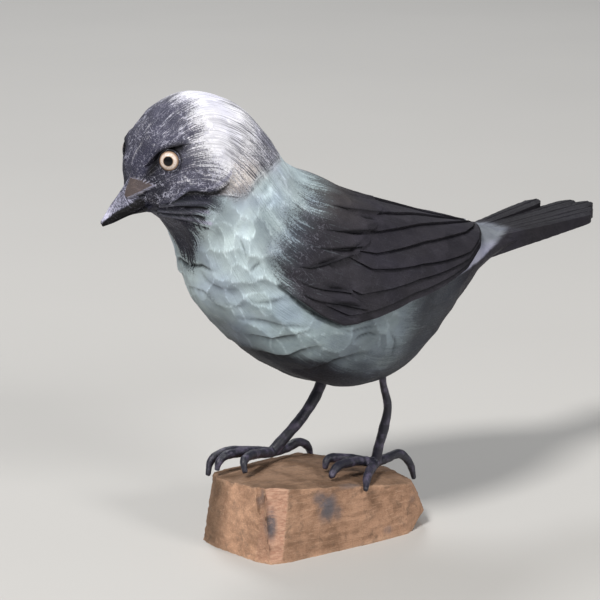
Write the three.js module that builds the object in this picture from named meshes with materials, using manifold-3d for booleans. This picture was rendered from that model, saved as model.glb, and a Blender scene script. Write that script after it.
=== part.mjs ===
// A carved and painted jackdaw on wire legs, standing on a rough-sawn block of wood.
// Millimetres, +Z up. The bird heads -X, and its left side faces -Y.
// The origin is on the block's underside, below the middle of the bird.
import * as THREE from 'three';
import { ConvexGeometry } from 'three/addons/geometries/ConvexGeometry.js';
import { mergeVertices } from 'three/addons/utils/BufferGeometryUtils.js';
import Module from 'manifold-3d';

const wasm = await Module();
wasm.setup();

// Driving dimensions

const GAP = 0.3; // between a piece and its neighbour
const LEFT = 1;
const RIGHT = -1;

// The body's sections from the face to the rump. Each one leans: it runs from a point on the
// back to a point on the belly, and is widest at a share of the way up from the belly.
// back x, back z, belly x, belly z, half width, widest share, squareness
const SECTIONS = [
  [-83, 161, -83, 152, 5, 0.5, 2],
  [-82, 167, -80.5, 149.5, 10, 0.5, 2],
  [-79.5, 173.5, -77, 147, 14.5, 0.5, 2.1],
  [-75, 181, -72.5, 145, 18.5, 0.5, 2.1],
  [-67, 188, -67, 141, 22, 0.5, 2.1],
  [-56, 192, -61, 134.5, 24, 0.5, 2.1],
  [-44, 190, -58, 126.5, 25, 0.48, 2],
  [-32.5, 184, -56, 117.5, 26, 0.46, 2],
  [-23, 173.5, -52.5, 108.5, 28.5, 0.45, 2],
  [-14, 161.5, -46.5, 99.5, 31.5, 0.45, 2.1],
  [0, 154, -38.5, 90.5, 35, 0.46, 2.1],
  [14, 147, -28.5, 81.5, 37, 0.5, 2.1],
  [30, 141, -15, 72.5, 38, 0.52, 2.1],
  [46, 135.5, 1, 64.5, 37, 0.54, 2.1],
  [60, 130.5, 18, 60, 34, 0.58, 2.1],
  [73, 126.5, 34.5, 60.5, 29.5, 0.62, 2.1],
  [85, 122.5, 46, 70.5, 24, 0.66, 2],
  [95, 119.5, 57, 86.5, 19.5, 0.68, 2],
  [104, 117.5, 71, 97.5, 16, 0.68, 2],
  [112, 117, 87, 105, 13.5, 0.66, 2.1],
  [120, 117, 103, 110.5, 12, 0.6, 2.3],
];
const BODY_RINGS = 42;
const BODY_SIDES = 26;

// The beak's sections: x, culmen z, mouth line z, lower edge z, half width.
const BEAK = [
  [-96, 146, 144.4, 143.7, 0.8],
  [-92, 151, 146.1, 143.1, 3.2],
  [-88.5, 154.8, 147.8, 143.4, 5],
  [-85.5, 158.2, 149.3, 144.2, 6.9],
  [-82.5, 161.6, 150.8, 145.2, 9.2],
  [-78, 164, 153, 146, 12],
];
const LOWER_BILL_SHARE = 0.82; // its width next to the upper bill's
const LOWER_BILL_STEP = 0.4; // how far it stops short of the upper bill's tip
// Half of a bill's profile from its ridge to its edge: shares of the half width and of the height.
const BILL_PROFILE = [[0, 1], [0.34, 0.88], [0.78, 0.55], [1, 0]];

// From here on a place on the skin is [section number, degrees round from the middle of the back].
const BURIED = -1.2; // height of an edge that melts into the body

// The hood ends in a carved step over the neck. Its rim melts in half way to the hood's heart.
const HOOD_EDGE = [
  [1.6, 128], [2.4, 122], [3.4, 112], [4.8, 107], [6.3, 92], [6.8, 83], [7.1, 70], [7.7, 54],
  [8.3, 34], [8.6, 4],
];
const HOOD = { heart: [4.2, 50], inner: 0.5, step: 1.7 };
const BROW_EDGE = [[1.3, 41], [1.9, 44], [2.4, 46.5], [2.9, 53], [3.4, 58.5], [4, 63]];
const BROW = { rise: 22, step: 1.4, melt: -0.6 };

// The wing's lower edge and its feather strips. A strip's border keeps to a share of the way
// round from the back to the lower edge, given at section 12 and at section 15.
const WING_TOP = 4;
const WING_EDGE = [
  [9.3, 106], [10.1, 107], [10.8, 109.5], [11.5, 110], [12.2, 101], [13, 89], [14.1, 79.5],
  [15, 72], [15.65, 55], [16, 36], [16.35, 9],
];
const WING_ROWS = [9.3, 9.8, 10.4, 11, 11.5, 12, 12.5, 13, 13.6, 14.2, 14.8, 15.3, 15.7, 16, 16.2, 16.35];
const STRIP_BORDERS = [
  [0, 0], [0.1, 0.08], [0.29, 0.16], [0.43, 0.28], [0.58, 0.49], [0.7, 0.79], [0.83, 0.87],
  [0.94, 0.94], [1, 1],
];
const WING_LIFT = 1.4;
const WING_LIFT_AT_BACK = 0.1;
const STRIP_STEP = 0.9;
const LEADING_EDGE = 1; // more lift along the lower front edge
const SINK = 3; // how far a feather's hidden root reaches into the body

// The shoulder's feathers overlap the strips, from the middle of the back down to two pointed
// wing coverts. Each has its height above the skin, and its upper and its lower edge to the tip.
const SHOULDER = [
  { top: 1.3, upper: [[8.8, -1], [10.4, -1], [12, -1]], lower: [[8.8, 31], [10.6, 27], [11.95, 12]] },
  { top: 2.4, upper: [[8.8, 31], [10.6, 27], [11.9, 17]], lower: [[8.8, 49], [10.4, 44], [11.65, 36]] },
  { top: 2.9, upper: [[8.8, 49], [10.2, 44], [11.38, 43]], lower: [[8.8, 67], [10.2, 62], [11.3, 53]] },
  { top: 3.1, upper: [[8.8, 67], [10.2, 62], [11.2, 56]], lower: [[8.8, 82], [10.1, 73.5], [11.05, 66]] },
  { top: 3.2, upper: [[8.8, 82], [10.1, 73.5], [10.95, 67]], lower: [[8.8, 93], [9.8, 87], [10.8, 73]] },
  { top: 3.2, upper: [[8.8, 93], [9.5, 89], [10.1, 81]], lower: [[8.8, 99], [10, 96], [11.24, 92]] },
  { top: 3.3, upper: [[8.8, 99], [10, 96], [11, 92.2]], lower: [[8.8, 104], [10.3, 102], [11.86, 97.5]] },
];
const FEATHER_STEP = 0.8;

// The tail's feathers, from the outer left to the outer right: y at the root, end x, end y,
// width at the root and at the end, height of the end's top.
const TAIL = [
  [-8, 146, -14, 6, 9, 120.8],
  [8, 140.5, 13.5, 6, 9, 122.4],
  [-5, 153, -7.5, 6, 9.5, 120.8],
  [5, 156, 6, 6, 9.5, 121.4],
  [0, 161, -0.5, 7, 10, 121.4],
];
const TAIL_ROOT = { x: 92, z: 116, thick: 9 };
const TAIL_END_THICK = 3.6;

const EYE = { place: [2.8, 66.5], radius: 4.6, sunk: 2.6 };

// The wire legs run from inside the belly to the foot; radius at each point.
const LEGS = {
  left_leg: {
    leg: [
      [30.5, -14, 72], [31, -14, 62], [34, -13.6, 51], [32.4, -13, 41], [30.2, -12.4, 33], [29, -12, 26.2],
    ],
    radii: [1.6, 1.6, 1.8, 2.2, 2.1, 2.4],
    toes: [
      [
        [29, -12, 26.2], [20, -13.6, 29.4], [10, -17, 31.4], [3, -20, 32.2], [-1.6, -22, 30.2],
        [-1.8, -23.2, 28.9],
      ],
      [[28, -11, 26.4], [18, -10, 29.6], [9.6, -9, 31.6], [5, -9.6, 31.6], [3.2, -10.6, 28.2]],
      [[28, -12.6, 26], [21, -19, 26.8], [13, -27, 27.4], [7.5, -33, 24.4]],
      [[29, -12, 26.2], [37, -10, 26.4], [45, -8.6, 26.2], [51, -8, 20.4], [53.5, -8, 13]],
    ],
  },
  right_leg: {
    leg: [
      [23, 12, 70], [18.5, 12, 59], [14, 12.2, 51], [7.6, 12.6, 43.6], [0.4, 13.4, 37], [-6.4, 14, 31.2],
    ],
    radii: [2, 2, 2.1, 2.2, 2.2, 2.4],
    toes: [
      [
        [-6.4, 14, 31], [-16, 12.6, 33.6], [-26, 10.6, 35.4], [-33, 9.6, 36], [-37, 9, 34],
        [-38.4, 8.6, 30.6],
      ],
      [[-7, 14.4, 31], [-18, 16, 33.4], [-28, 18, 34.2], [-34.6, 18.4, 31.6], [-37.6, 16.6, 26]],
      [[-7, 13.4, 31], [-17, 8, 34], [-26, 2.4, 36.4], [-31.6, -1.4, 36], [-32.6, -3.8, 31.8]],
      [[-6.4, 14, 31], [2, 15.8, 30.6], [10, 17.4, 31.4], [16, 18.8, 27.6], [19, 20.4, 20]],
    ],
  },
};
const TOE_RADII = [2.1, 2.1, 1.9, 1.1];
const WIRE_SIDES = 8;

// The block's corners: underside first, then the middle of its split right end, then the top.
const BLOCK = [
  [-41.7, 12.6, 0], [-43, 3.5, 0], [-41.6, -9, 0], [-39.7, -21.4, 0], [-36.5, -27.8, 0], [-29, -30, 0],
  [-13, -31, 0], [15, -32.8, 0], [30, -32.6, 0], [34.5, -30.5, 0], [45, -20, 0], [42, 17, 0], [-36, 20, 0],
  [43.5, -28, 6.5], [48.5, -6, 7], [46, 12, 8],
  [-38, -27, 32.3], [-10, -30.6, 28.8], [33, -30.6, 21.6], [41, -6, 20.6], [39, 15, 19.6], [10, 20, 26.6],
  [-34, 16, 28], [-39, 6, 28.6],
];
// Two chips at its front left corner: a long split face, and a short notch at its top.
// middle x, inner y at the underside, width, lowest z, lean back, turn
const CHIPS = [
  [-32.4, -28.2, 8.6, -1, -0.06, -0.12],
  [-39, -24, 4, 19, -0.02, -0.7],
];
const CHIP = { depth: 10, height: 60 };

// Curves and skin

/** A point between the rows of a table, on a smooth curve through them. */
function between(rows, at) {
  const i = Math.min(Math.max(Math.floor(at), 0), rows.length - 2);
  const t = at - i;
  const [b, c] = [rows[i], rows[i + 1]];
  const a = rows[i - 1] ?? b.map((value, k) => 2 * value - c[k]);
  const d = rows[i + 2] ?? c.map((value, k) => 2 * value - b[k]);
  return b.map((value, k) => 0.5 * (2 * value + (c[k] - a[k]) * t
    + (2 * a[k] - 5 * value + 4 * c[k] - d[k]) * t * t + (3 * value - a[k] - 3 * c[k] + d[k]) * t ** 3));
}

/** The height of a broken line of [x, y] points at x. */
function along(points, x) {
  const i = Math.min(Math.max(points.findIndex((point) => point[0] > x) - 1, 0), points.length - 2);
  const last = points[points.length - 1];
  if (x >= last[0]) return last[1];
  const [p, q] = [points[i], points[i + 1]];
  return p[1] + ((q[1] - p[1]) * (x - p[0])) / (q[0] - p[0]);
}

/** The point of a broken line at a share of its points. */
function onLine(points, share) {
  const at = Math.min(share * (points.length - 1), points.length - 1 - 1e-6);
  const i = Math.floor(at);
  return points[i].map((value, k) => value + (points[i + 1][k] - value) * (at - i));
}

const blend = THREE.MathUtils.smoothstep;
const mix = THREE.MathUtils.lerp;
const bent = (value, power) => Math.sign(value) * Math.abs(value) ** power;

/** The body's smooth surface. Positive degrees go round the bird's left side. */
function skin(section, degrees) {
  const [backX, backZ, bellyX, bellyZ, halfWidth, widest, square] = between(SECTIONS, section);
  const angle = THREE.MathUtils.degToRad(degrees);
  const up = bent(Math.cos(angle), 2 / square);
  const side = bent(Math.sin(angle), 2 / square);
  const midX = mix(bellyX, backX, widest);
  const midZ = mix(bellyZ, backZ, widest);
  const x = midX + (up > 0 ? backX - midX : midX - bellyX) * up;
  const z = midZ + (up > 0 ? backZ - midZ : midZ - bellyZ) * up;
  return new THREE.Vector3(x, -halfWidth * side, z);
}

/** The skin's direction out of the body. */
function outward(section, degrees) {
  const along = skin(section + 0.05, degrees).sub(skin(section - 0.05, degrees));
  const around = skin(section, degrees + 2).sub(skin(section, degrees - 2));
  return around.cross(along).normalize();
}

/** A point lifted off the skin, on the bird's left or right side. */
function onSkin([section, degrees], lift, side = LEFT) {
  const point = skin(section, degrees).addScaledVector(outward(section, degrees), lift);
  point.y *= side;
  return point;
}

// Solids

/** A closed body of points and triangles, turned so that its faces point out. */
function solid(points, triangles) {
  let volume = 0;
  for (const [a, b, c] of triangles) volume += points[a].dot(points[b].clone().cross(points[c]));
  const faces = volume > 0 ? triangles : triangles.map(([a, b, c]) => [a, c, b]);
  return new wasm.Manifold(new wasm.Mesh({
    numProp: 3,
    vertProperties: new Float32Array(points.flatMap((point) => point.toArray())),
    triVerts: new Uint32Array(faces.flat()),
  }));
}

/** The solid of a closed three.js geometry. */
function solidOf(geometry) {
  const bare = new THREE.BufferGeometry().setAttribute('position', geometry.getAttribute('position'));
  if (geometry.index) bare.setIndex(geometry.index);
  const merged = mergeVertices(bare, 1e-4);
  const position = merged.getAttribute('position');
  const points = Array.from({ length: position.count }, (_, i) => (
    new THREE.Vector3().fromBufferAttribute(position, i)));
  const triangles = [];
  for (let i = 0; i < merged.index.count; i += 3) {
    triangles.push([0, 1, 2].map((k) => merged.index.getX(i + k)));
  }
  return solid(points, triangles.filter(([a, b, c]) => a !== b && b !== c && a !== c));
}

/** A closed loft through rings of points, with a point in the middle of each end. */
function loft(rings) {
  const sides = rings[0].length;
  const points = rings.flat();
  const triangles = [];
  for (let i = 0; i + 1 < rings.length; i += 1) {
    for (let j = 0; j < sides; j += 1) {
      const [a, b] = [i * sides + j, i * sides + ((j + 1) % sides)];
      triangles.push([a, b, b + sides], [a, b + sides, a + sides]);
    }
  }
  for (const [ring, start] of [[rings[0], 0], [rings.at(-1), (rings.length - 1) * sides]]) {
    const middle = ring.reduce((sum, point) => sum.add(point), new THREE.Vector3()).divideScalar(sides);
    points.push(middle);
    for (let j = 0; j < sides; j += 1) {
      const [a, b] = [start + j, start + ((j + 1) % sides)];
      triangles.push(start ? [a, b, points.length - 1] : [b, a, points.length - 1]);
    }
  }
  return solid(points, triangles);
}

/** A closed slab between two grids of points of the same size. */
function slab(top, bottom) {
  const [rows, columns] = [top.length, top[0].length];
  const under = rows * columns;
  const triangles = [];
  const quad = (a, b, c, d) => triangles.push([a, b, c], [a, c, d]);
  for (let i = 0; i + 1 < rows; i += 1) {
    for (let j = 0; j + 1 < columns; j += 1) {
      const a = i * columns + j;
      quad(a, a + 1, a + columns + 1, a + columns);
      quad(under + a, under + a + columns, under + a + columns + 1, under + a + 1);
    }
  }
  const wall = (a, b) => quad(b, a, under + a, under + b);
  for (let j = 0; j + 1 < columns; j += 1) {
    wall(j, j + 1);
    wall((rows - 1) * columns + j + 1, (rows - 1) * columns + j);
  }
  for (let i = 0; i + 1 < rows; i += 1) {
    wall((i + 1) * columns, i * columns);
    wall((i + 1) * columns - 1, (i + 2) * columns - 1);
  }
  return solid([...top.flat(), ...bottom.flat()], triangles);
}

/** A patch that stands off the skin and reaches SINK below it. */
function patch(rows, columns, place, lift, side) {
  const grid = (height) => rows.map((s) => columns.map((t) => onSkin(place(s, t), height(s, t), side)));
  return slab(grid(lift), grid(() => -SINK));
}

const steps = (count) => Array.from({ length: count + 1 }, (_, i) => i / count);
const union = (solids) => wasm.Manifold.union(solids);

/** A round bar along a smooth curve, its radius read from a list along it. */
function bar(points, radii, swell = 0) {
  const path = points.map((point) => new THREE.Vector3(...point));
  const curve = new THREE.CatmullRomCurve3(path, false, 'centripetal');
  const count = 2 * (points.length - 1);
  const frames = curve.computeFrenetFrames(count, false);
  const rings = steps(count).map((t, i) => {
    const centre = curve.getPointAt(t);
    const radius = onLine(radii.map((r) => [r]), t)[0] + swell;
    return Array.from({ length: WIRE_SIDES }, (_, k) => {
      const angle = (2 * Math.PI * k) / WIRE_SIDES;
      return centre.clone().addScaledVector(frames.normals[i], radius * Math.cos(angle))
        .addScaledVector(frames.binormals[i], radius * Math.sin(angle));
    });
  });
  return loft(rings);
}

// The bird's parts

function body() {
  const last = SECTIONS.length - 1;
  return loft(steps(BODY_RINGS).map((t) => steps(BODY_SIDES - 1)
    .map((_, j) => skin(t * last, (360 * j) / BODY_SIDES))));
}

/** The upper bill is a wedge with a narrow ridge, and the lower one is shallow and narrower. */
function bill() {
  const ring = (x, top, edge, low, width) => {
    const half = BILL_PROFILE.map(([across, up]) => [width * across, mix(edge, top, up)]);
    half.push([width * 0.8, low]);
    const left = half.map(([y, z]) => new THREE.Vector3(x, -y, z));
    const right = half.slice(1).reverse().map(([y, z]) => new THREE.Vector3(x, y, z));
    return [...left, ...right];
  };
  const upper = BEAK.map(([x, culmen, mouth, , width]) => ring(x, culmen, mouth + 0.6, mouth, width));
  const lower = BEAK.map(([x, , mouth, low, width]) => (
    ring(x + LOWER_BILL_STEP, mouth + 0.4, mix(low, mouth, 0.6), low, width * LOWER_BILL_SHARE)));
  return [loft(upper), loft(lower)];
}

/** The hood's rim: it stands over the throat and melts into the crown towards the hood's heart. */
function hood(side) {
  const place = (s, t) => {
    const rim = onLine(HOOD_EDGE, s);
    return rim.map((value, i) => mix(value, HOOD.heart[i], HOOD.inner * (1 - t)));
  };
  const lift = (s, t) => mix(BURIED, HOOD.step * blend(s, -0.03, 0.15), blend(t, -0.3, 0.9));
  return patch(steps(14), [0, 0.35, 0.7, 1], place, lift, side);
}

/** The brow: a lid of wood that stands over the eye and fades into the crown. */
function brow(side) {
  const place = (s, t) => {
    const [section, degrees] = onLine(BROW_EDGE, s);
    return [section, degrees - BROW.rise * t];
  };
  const lift = (s, t) => mix(BROW.step * Math.sin(Math.PI * Math.min(s + 0.1, 1)), BROW.melt, t);
  return patch(steps(6), steps(2), place, lift, side);
}

/** The folded wing: long strips, each one's lower edge standing over the next. */
function wing(side) {
  const border = (k, section) => (
    mix(...STRIP_BORDERS[k], THREE.MathUtils.clamp((section - 12) / 3, -0.4, 1.3)));
  const columns = STRIP_BORDERS.slice(1).flatMap((_, k) => [[k, 0], [k, 1]]);
  const place = (section, [k, t]) => {
    const share = mix(border(k, section), border(k + 1, section), t) - (t ? 0.002 : 0);
    return [section, mix(WING_TOP, along(WING_EDGE, section), share)];
  };
  const lift = (section, [k, t]) => {
    const share = border(k + t, section);
    const rise = blend(section, 9.3, mix(11, 9.8, blend(share, 0.7, 0.95)));
    const leading = LEADING_EDGE * blend(share, 0.9, 1) * (1 - blend(section, 11.5, 12.5));
    const base = mix(WING_LIFT_AT_BACK, WING_LIFT, blend(share, 0, 0.4)) + leading;
    const step = t * STRIP_STEP * blend(section, 10.4, 11.4);
    return mix(BURIED, base + step, rise * (1 - 0.3 * blend(section, 15.6, 16.4)));
  };
  return patch(WING_ROWS, columns, place, lift, side);
}

/** The shoulder: feathers that part towards their tips and melt into the breast in front. */
function shoulder(side) {
  const columns = SHOULDER.flatMap((shape) => [0, 0.5, 1].map((t) => [shape, t]));
  const place = (s, [{ upper, lower }, t]) => {
    const [a, b] = [onLine(upper, s), onLine(lower, s)];
    const bulge = t === 0.5 ? 0.12 * s : 0;
    return [mix(a[0], b[0], t) + bulge, mix(a[1], b[1], t * 0.996 + 0.002)];
  };
  const lift = (s, [shape, t]) => {
    const height = shape.top - FEATHER_STEP * (1 - t) * blend(s, 0.2, 0.8);
    return mix(BURIED, height, blend(place(s, [shape, t])[0], 8.9, 10.5));
  };
  return patch(steps(8), columns, place, lift, side);
}

/** One tail feather: a plank with a rounded end. */
function tailFeather([rootY, endX, endY, rootWidth, endWidth, endTop]) {
  const taper = (s) => (s < 0.9 ? 1 : Math.sqrt(1 - ((s - 0.9) / 0.115) ** 2));
  const grid = (under) => [0, 0.3, 0.6, 0.8, 0.9, 0.95, 0.985, 1].map((s) => [-1, 0, 1].map((t) => {
    const width = mix(rootWidth, endWidth, Math.min(s * 1.3, 1)) * taper(s);
    const crown = (1 - t * t) * 0.5;
    return new THREE.Vector3(mix(TAIL_ROOT.x, endX, s), mix(rootY, endY, s) + (t * width) / 2,
      mix(TAIL_ROOT.z, endTop, s) + crown - under * mix(TAIL_ROOT.thick, TAIL_END_THICK, s));
  }));
  return slab(grid(0), grid(1));
}

/** The ball that an eye is part of, grown by a clearance for its socket. */
function eyeball(side, clearance = 0) {
  const centre = onSkin(EYE.place, -EYE.sunk, side);
  return solidOf(new THREE.SphereGeometry(EYE.radius + clearance, 14, 10).translate(...centre.toArray()));
}

/** A leg with its foot, grown by a clearance where it meets wood. */
function legOf(name, swell = 0) {
  const { leg, radii, toes } = LEGS[name];
  return union([bar(leg, radii, swell), ...toes.map((toe) => bar(toe, TOE_RADII, swell))]);
}

function bird() {
  const carved = [LEFT, RIGHT].flatMap((side) => [wing(side), shoulder(side), hood(side), brow(side)]);
  const whole = union([body(), ...bill(), ...carved, ...TAIL.map(tailFeather)]);
  const holes = [
    eyeball(LEFT, GAP), eyeball(RIGHT, GAP), legOf('left_leg', GAP), legOf('right_leg', GAP),
  ];
  return whole.subtract(union(holes));
}

function block() {
  const rough = solidOf(new ConvexGeometry(BLOCK.map((corner) => new THREE.Vector3(...corner))));
  const chips = CHIPS.map(([x, y, width, low, lean, turn]) => solidOf(
    new THREE.BoxGeometry(width, CHIP.depth, CHIP.height)
      .translate(0, -CHIP.depth / 2, CHIP.height / 2 + low).rotateX(lean).rotateZ(turn).translate(x, y, 0),
  ));
  return rough.subtract(union([...chips, legOf('left_leg', GAP), legOf('right_leg', GAP)]));
}

// The finished group

const wood = new THREE.MeshStandardMaterial({ color: 0xaf825f, roughness: 0.85, metalness: 0 });
const paint = new THREE.MeshStandardMaterial({ color: 0x5c6166, roughness: 0.65, metalness: 0 });
const wire = new THREE.MeshStandardMaterial({ color: 0x2c2e3c, roughness: 0.4, metalness: 0.2 });
const glass = new THREE.MeshStandardMaterial({ color: 0xe6c8aa, roughness: 0.1, metalness: 0 });

/** A named mesh of a finished solid. */
function piece(name, shape, material) {
  const { vertProperties, triVerts } = shape.getMesh();
  const geometry = new THREE.BufferGeometry();
  geometry.setAttribute('position', new THREE.BufferAttribute(vertProperties, 3));
  geometry.setIndex(new THREE.BufferAttribute(triVerts, 1));
  const mesh = new THREE.Mesh(geometry, material);
  mesh.name = name;
  return mesh;
}

const group = new THREE.Group();
group.add(piece('block', block(), wood));
group.add(piece('bird', bird(), paint));
group.add(piece('left_leg', legOf('left_leg'), wire));
group.add(piece('right_leg', legOf('right_leg'), wire));
group.add(piece('left_eye', eyeball(LEFT), glass));
group.add(piece('right_eye', eyeball(RIGHT), glass));

export default group;
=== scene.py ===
"""The finished look of a carved and painted jackdaw on wire legs and a rough block of wood.

Laid out as an add-on and run as a script. Shape values are in millimetres, in the part's frame:
+Z up, the bird heads -X and its left side faces -Y.
"""

import math

import bmesh
import bpy
import numpy as np
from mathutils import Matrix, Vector, noise
from mathutils.bvhtree import BVHTree


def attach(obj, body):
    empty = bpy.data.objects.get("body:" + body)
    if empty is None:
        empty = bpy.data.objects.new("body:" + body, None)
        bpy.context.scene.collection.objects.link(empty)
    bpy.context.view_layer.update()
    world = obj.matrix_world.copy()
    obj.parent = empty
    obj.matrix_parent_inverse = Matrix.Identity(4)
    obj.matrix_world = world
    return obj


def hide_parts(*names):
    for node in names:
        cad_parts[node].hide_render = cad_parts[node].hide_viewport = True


bl_info = {
    "name": "Jackdaw figure",
    "version": (1, 0, 0),
    "blender": (4, 5, 0),
    "location": "View3D > Sidebar > Jackdaw",
    "description": "Carves, paints and stages the jackdaw figure",
    "category": "Object",
}

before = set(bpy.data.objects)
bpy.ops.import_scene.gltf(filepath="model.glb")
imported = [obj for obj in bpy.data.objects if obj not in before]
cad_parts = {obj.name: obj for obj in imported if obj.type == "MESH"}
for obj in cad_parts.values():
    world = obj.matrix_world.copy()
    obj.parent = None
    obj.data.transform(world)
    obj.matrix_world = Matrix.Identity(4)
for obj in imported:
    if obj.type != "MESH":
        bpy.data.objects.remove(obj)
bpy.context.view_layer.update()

MM = 0.001
FAR_OFF = 99.0  # stands for a place far away
LEFT, RIGHT = 1, -1
BODY = "root"

# The form

# The body's sections from the face to the rump:
# back x, back z, belly x, belly z, half width, widest share, squareness
SECTIONS = [
    (-83, 161, -83, 152, 5, 0.5, 2),
    (-82, 167, -80.5, 149.5, 10, 0.5, 2),
    (-79.5, 173.5, -77, 147, 14.5, 0.5, 2.1),
    (-75, 181, -72.5, 145, 18.5, 0.5, 2.1),
    (-67, 188, -67, 141, 22, 0.5, 2.1),
    (-56, 192, -61, 134.5, 24, 0.5, 2.1),
    (-44, 190, -58, 126.5, 25, 0.48, 2),
    (-32.5, 184, -56, 117.5, 26, 0.46, 2),
    (-23, 173.5, -52.5, 108.5, 28.5, 0.45, 2),
    (-14, 161.5, -46.5, 99.5, 31.5, 0.45, 2.1),
    (0, 154, -38.5, 90.5, 35, 0.46, 2.1),
    (14, 147, -28.5, 81.5, 37, 0.5, 2.1),
    (30, 141, -15, 72.5, 38, 0.52, 2.1),
    (46, 135.5, 1, 64.5, 37, 0.54, 2.1),
    (60, 130.5, 18, 60, 34, 0.58, 2.1),
    (73, 126.5, 34.5, 60.5, 29.5, 0.62, 2.1),
    (85, 122.5, 46, 70.5, 24, 0.66, 2),
    (95, 119.5, 57, 86.5, 19.5, 0.68, 2),
    (104, 117.5, 71, 97.5, 16, 0.68, 2),
    (112, 117, 87, 105, 13.5, 0.66, 2.1),
    (120, 117, 103, 110.5, 12, 0.6, 2.3),
]
LAST_SECTION = len(SECTIONS) - 1
BODY_RINGS, BODY_SIDES = 256, 236
CHART_GRID = (241, 181)  # places along and round the body at which the skin is looked up
GIRTH_RADIUS = 32  # of the round body that brush strokes are laid out on

# The beak's sections: x, culmen z, z of the crisp side edge, mouth line z, lower edge z, half width
BEAK = [
    (-96, 145.8, 145.2, 144.2, 143.4, 0.8),
    (-92, 151, 147.8, 145.7, 144.6, 2.9),
    (-88.5, 154.8, 149.2, 147.1, 146, 4.5),
    (-85.5, 158.2, 150.7, 148.3, 147.1, 6),
    (-82.5, 161.6, 152.8, 149.9, 147.6, 7.6),
    (-78, 164, 156.2, 153, 148, 9.6),
]
LOWER_BILL_SHARE = 0.84  # its width, as a share of the upper bill's
LOWER_BILL_STEP = 0.4  # how far its tip lies behind the upper bill's
BILL_PROFILE = [(0, 1), (0.14, 0.93), (0.5, 0.58), (1, 0)]  # shares of the half width and height
BILL_RINGS, BILL_SIDES = 44, 17
# Corners of the flat plate on the left side of the bill's base
NASAL = [(-82.9, -0.6, 161.1), (-81.9, -6.2, 161.1), (-79.7, -12.3, 159.7), (-83, -7.2, 156),
         (-86.8, -3.9, 154.1), (-87.3, -2.4, 154.9), (-86.2, -1.5, 156.8)]
NASAL_RISE = 0.2
NASAL_BEVEL = 0.3
NASAL_DEPTH = 3
NASAL_SIDES = 84
NASAL_RINGS = (0.05, 0.12, 0.2, 0.35, 0.5, 0.7, 0.88)  # of the plate's face, as shares of the way in
FAR_PLATE_SHIFT = (2, 2.6, -0.8)  # the right plate sits a little deeper

# Places on the skin are (section number, degrees round from the middle of the back).

# Heights over the skin: the border of a raised patch, out of sight, and the underside of every patch
BURIED = -1.2
UNDERSIDE = -3

HOOD_EDGE = [
    (1.6, 128), (2.4, 122), (3.4, 112), (4.8, 107), (6.3, 92), (6.8, 83), (7.1, 70), (7.7, 54),
    (8.3, 34), (8.6, 4),
]
HOOD_HEART = (4.2, 50)
HOOD_INNER = 0.5  # how far the patch reaches from its rim to its heart
HOOD_STEP = 1.7
HOOD_GRID = (150, 22)

# The cheek's scalloped lower and rear edge, a layer on top of the hood
CHEEK_EDGE = [
    (2.5, 125), (2.9, 119), (3.25, 112), (3.65, 105), (4.2, 104.5), (4.6, 103.5), (5, 100.5),
    (5.4, 93.5), (5.6, 88), (5.65, 83), (5.55, 78),
]
CHEEK_HEART = (4.2, 78)
CHEEK_INNER = 0.75
CHEEK_STEP = 0.9
CHEEK_GRID = (70, 18)

# Layers of throat feathers below the hood: lower edge, height of it
THROAT = [
    ([(2.1, 135), (2.6, 131), (3.2, 126), (4, 122), (4.8, 118), (5.6, 112)], 1.5),
    ([(2.3, 152), (3, 147), (3.6, 140), (4.3, 131), (4.9, 127), (5.6, 124)], 1.2),
    ([(2.8, 168), (3.4, 157), (4, 147), (4.6, 141), (5.3, 133), (5.9, 131)], 0.9),
]
THROAT_DEPTH = 26  # degrees from a layer's lower edge to its hidden root
THROAT_GRID = (50, 20)

BROW_EDGE = [(1.3, 41), (1.9, 44), (2.4, 46.5), (2.9, 53), (3.4, 58.5), (4, 63)]
BROW_RISE = 22  # degrees from its edge up to where it melts into the hood
BROW_STEP = 1.4
BROW_MELT = -0.6
BROW_GRID = (36, 16)

WING_TOP = 4  # degrees from the middle of the back
WING_SECTIONS = (9.3, 16.35)
WING_EDGE = [
    (9.3, 106), (10.1, 107), (10.8, 109.5), (11.5, 110), (12.2, 101), (13, 89), (14.1, 79.5),
    (15, 72), (15.65, 55), (16, 36), (16.35, 9),
]
# Strip borders as shares of the way round to the wing's edge, at section 12 and at section 15
STRIP_BORDERS = [
    (0, 0), (0.1, 0.08), (0.29, 0.16), (0.43, 0.28), (0.58, 0.49), (0.7, 0.79), (0.83, 0.87),
    (0.94, 0.94), (1, 1),
]
WING_LIFT = 1.4
WING_LIFT_AT_BACK = 0.1
WING_ROWS = 108
STRIP_PLACES = (0, 0.035, 0.09, 0.2, 0.35, 0.5, 0.65, 0.8, 0.92, 1)  # columns of points across a strip
STRIP_STEP = 0.9
STRIP_WIDTH = 0.999  # a little under 1, so that a strip's last column still counts as its own
LEADING_EDGE = 1  # extra height of the wing's front edge
WING_CUT_SHARE = 0.9  # depth of the knife's cuts on wing and shoulder

# Shoulder feathers: height, upper edge, lower edge
SHOULDER = [
    (1.3, [(8.8, -1), (10.4, -1), (12, -1)], [(8.8, 31), (10.6, 27), (11.95, 12)]),
    (2.4, [(8.8, 31), (10.6, 27), (11.9, 17)], [(8.8, 49), (10.4, 44), (11.65, 36)]),
    (2.9, [(8.8, 49), (10.2, 44), (11.38, 43)], [(8.8, 67), (10.2, 62), (11.3, 53)]),
    (3.1, [(8.8, 67), (10.2, 62), (11.2, 56)], [(8.8, 82), (10.1, 73.5), (11.05, 66)]),
    (3.2, [(8.8, 82), (10.1, 73.5), (10.95, 67)], [(8.8, 93), (9.8, 87), (10.8, 73)]),
    (3.2, [(8.8, 93), (9.5, 89), (10.1, 81)], [(8.8, 99), (10, 96), (11.24, 92)]),
    (3.3, [(8.8, 99), (10, 96), (11, 92.2)], [(8.8, 104), (10.3, 102), (11.86, 97.5)]),
]
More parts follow.
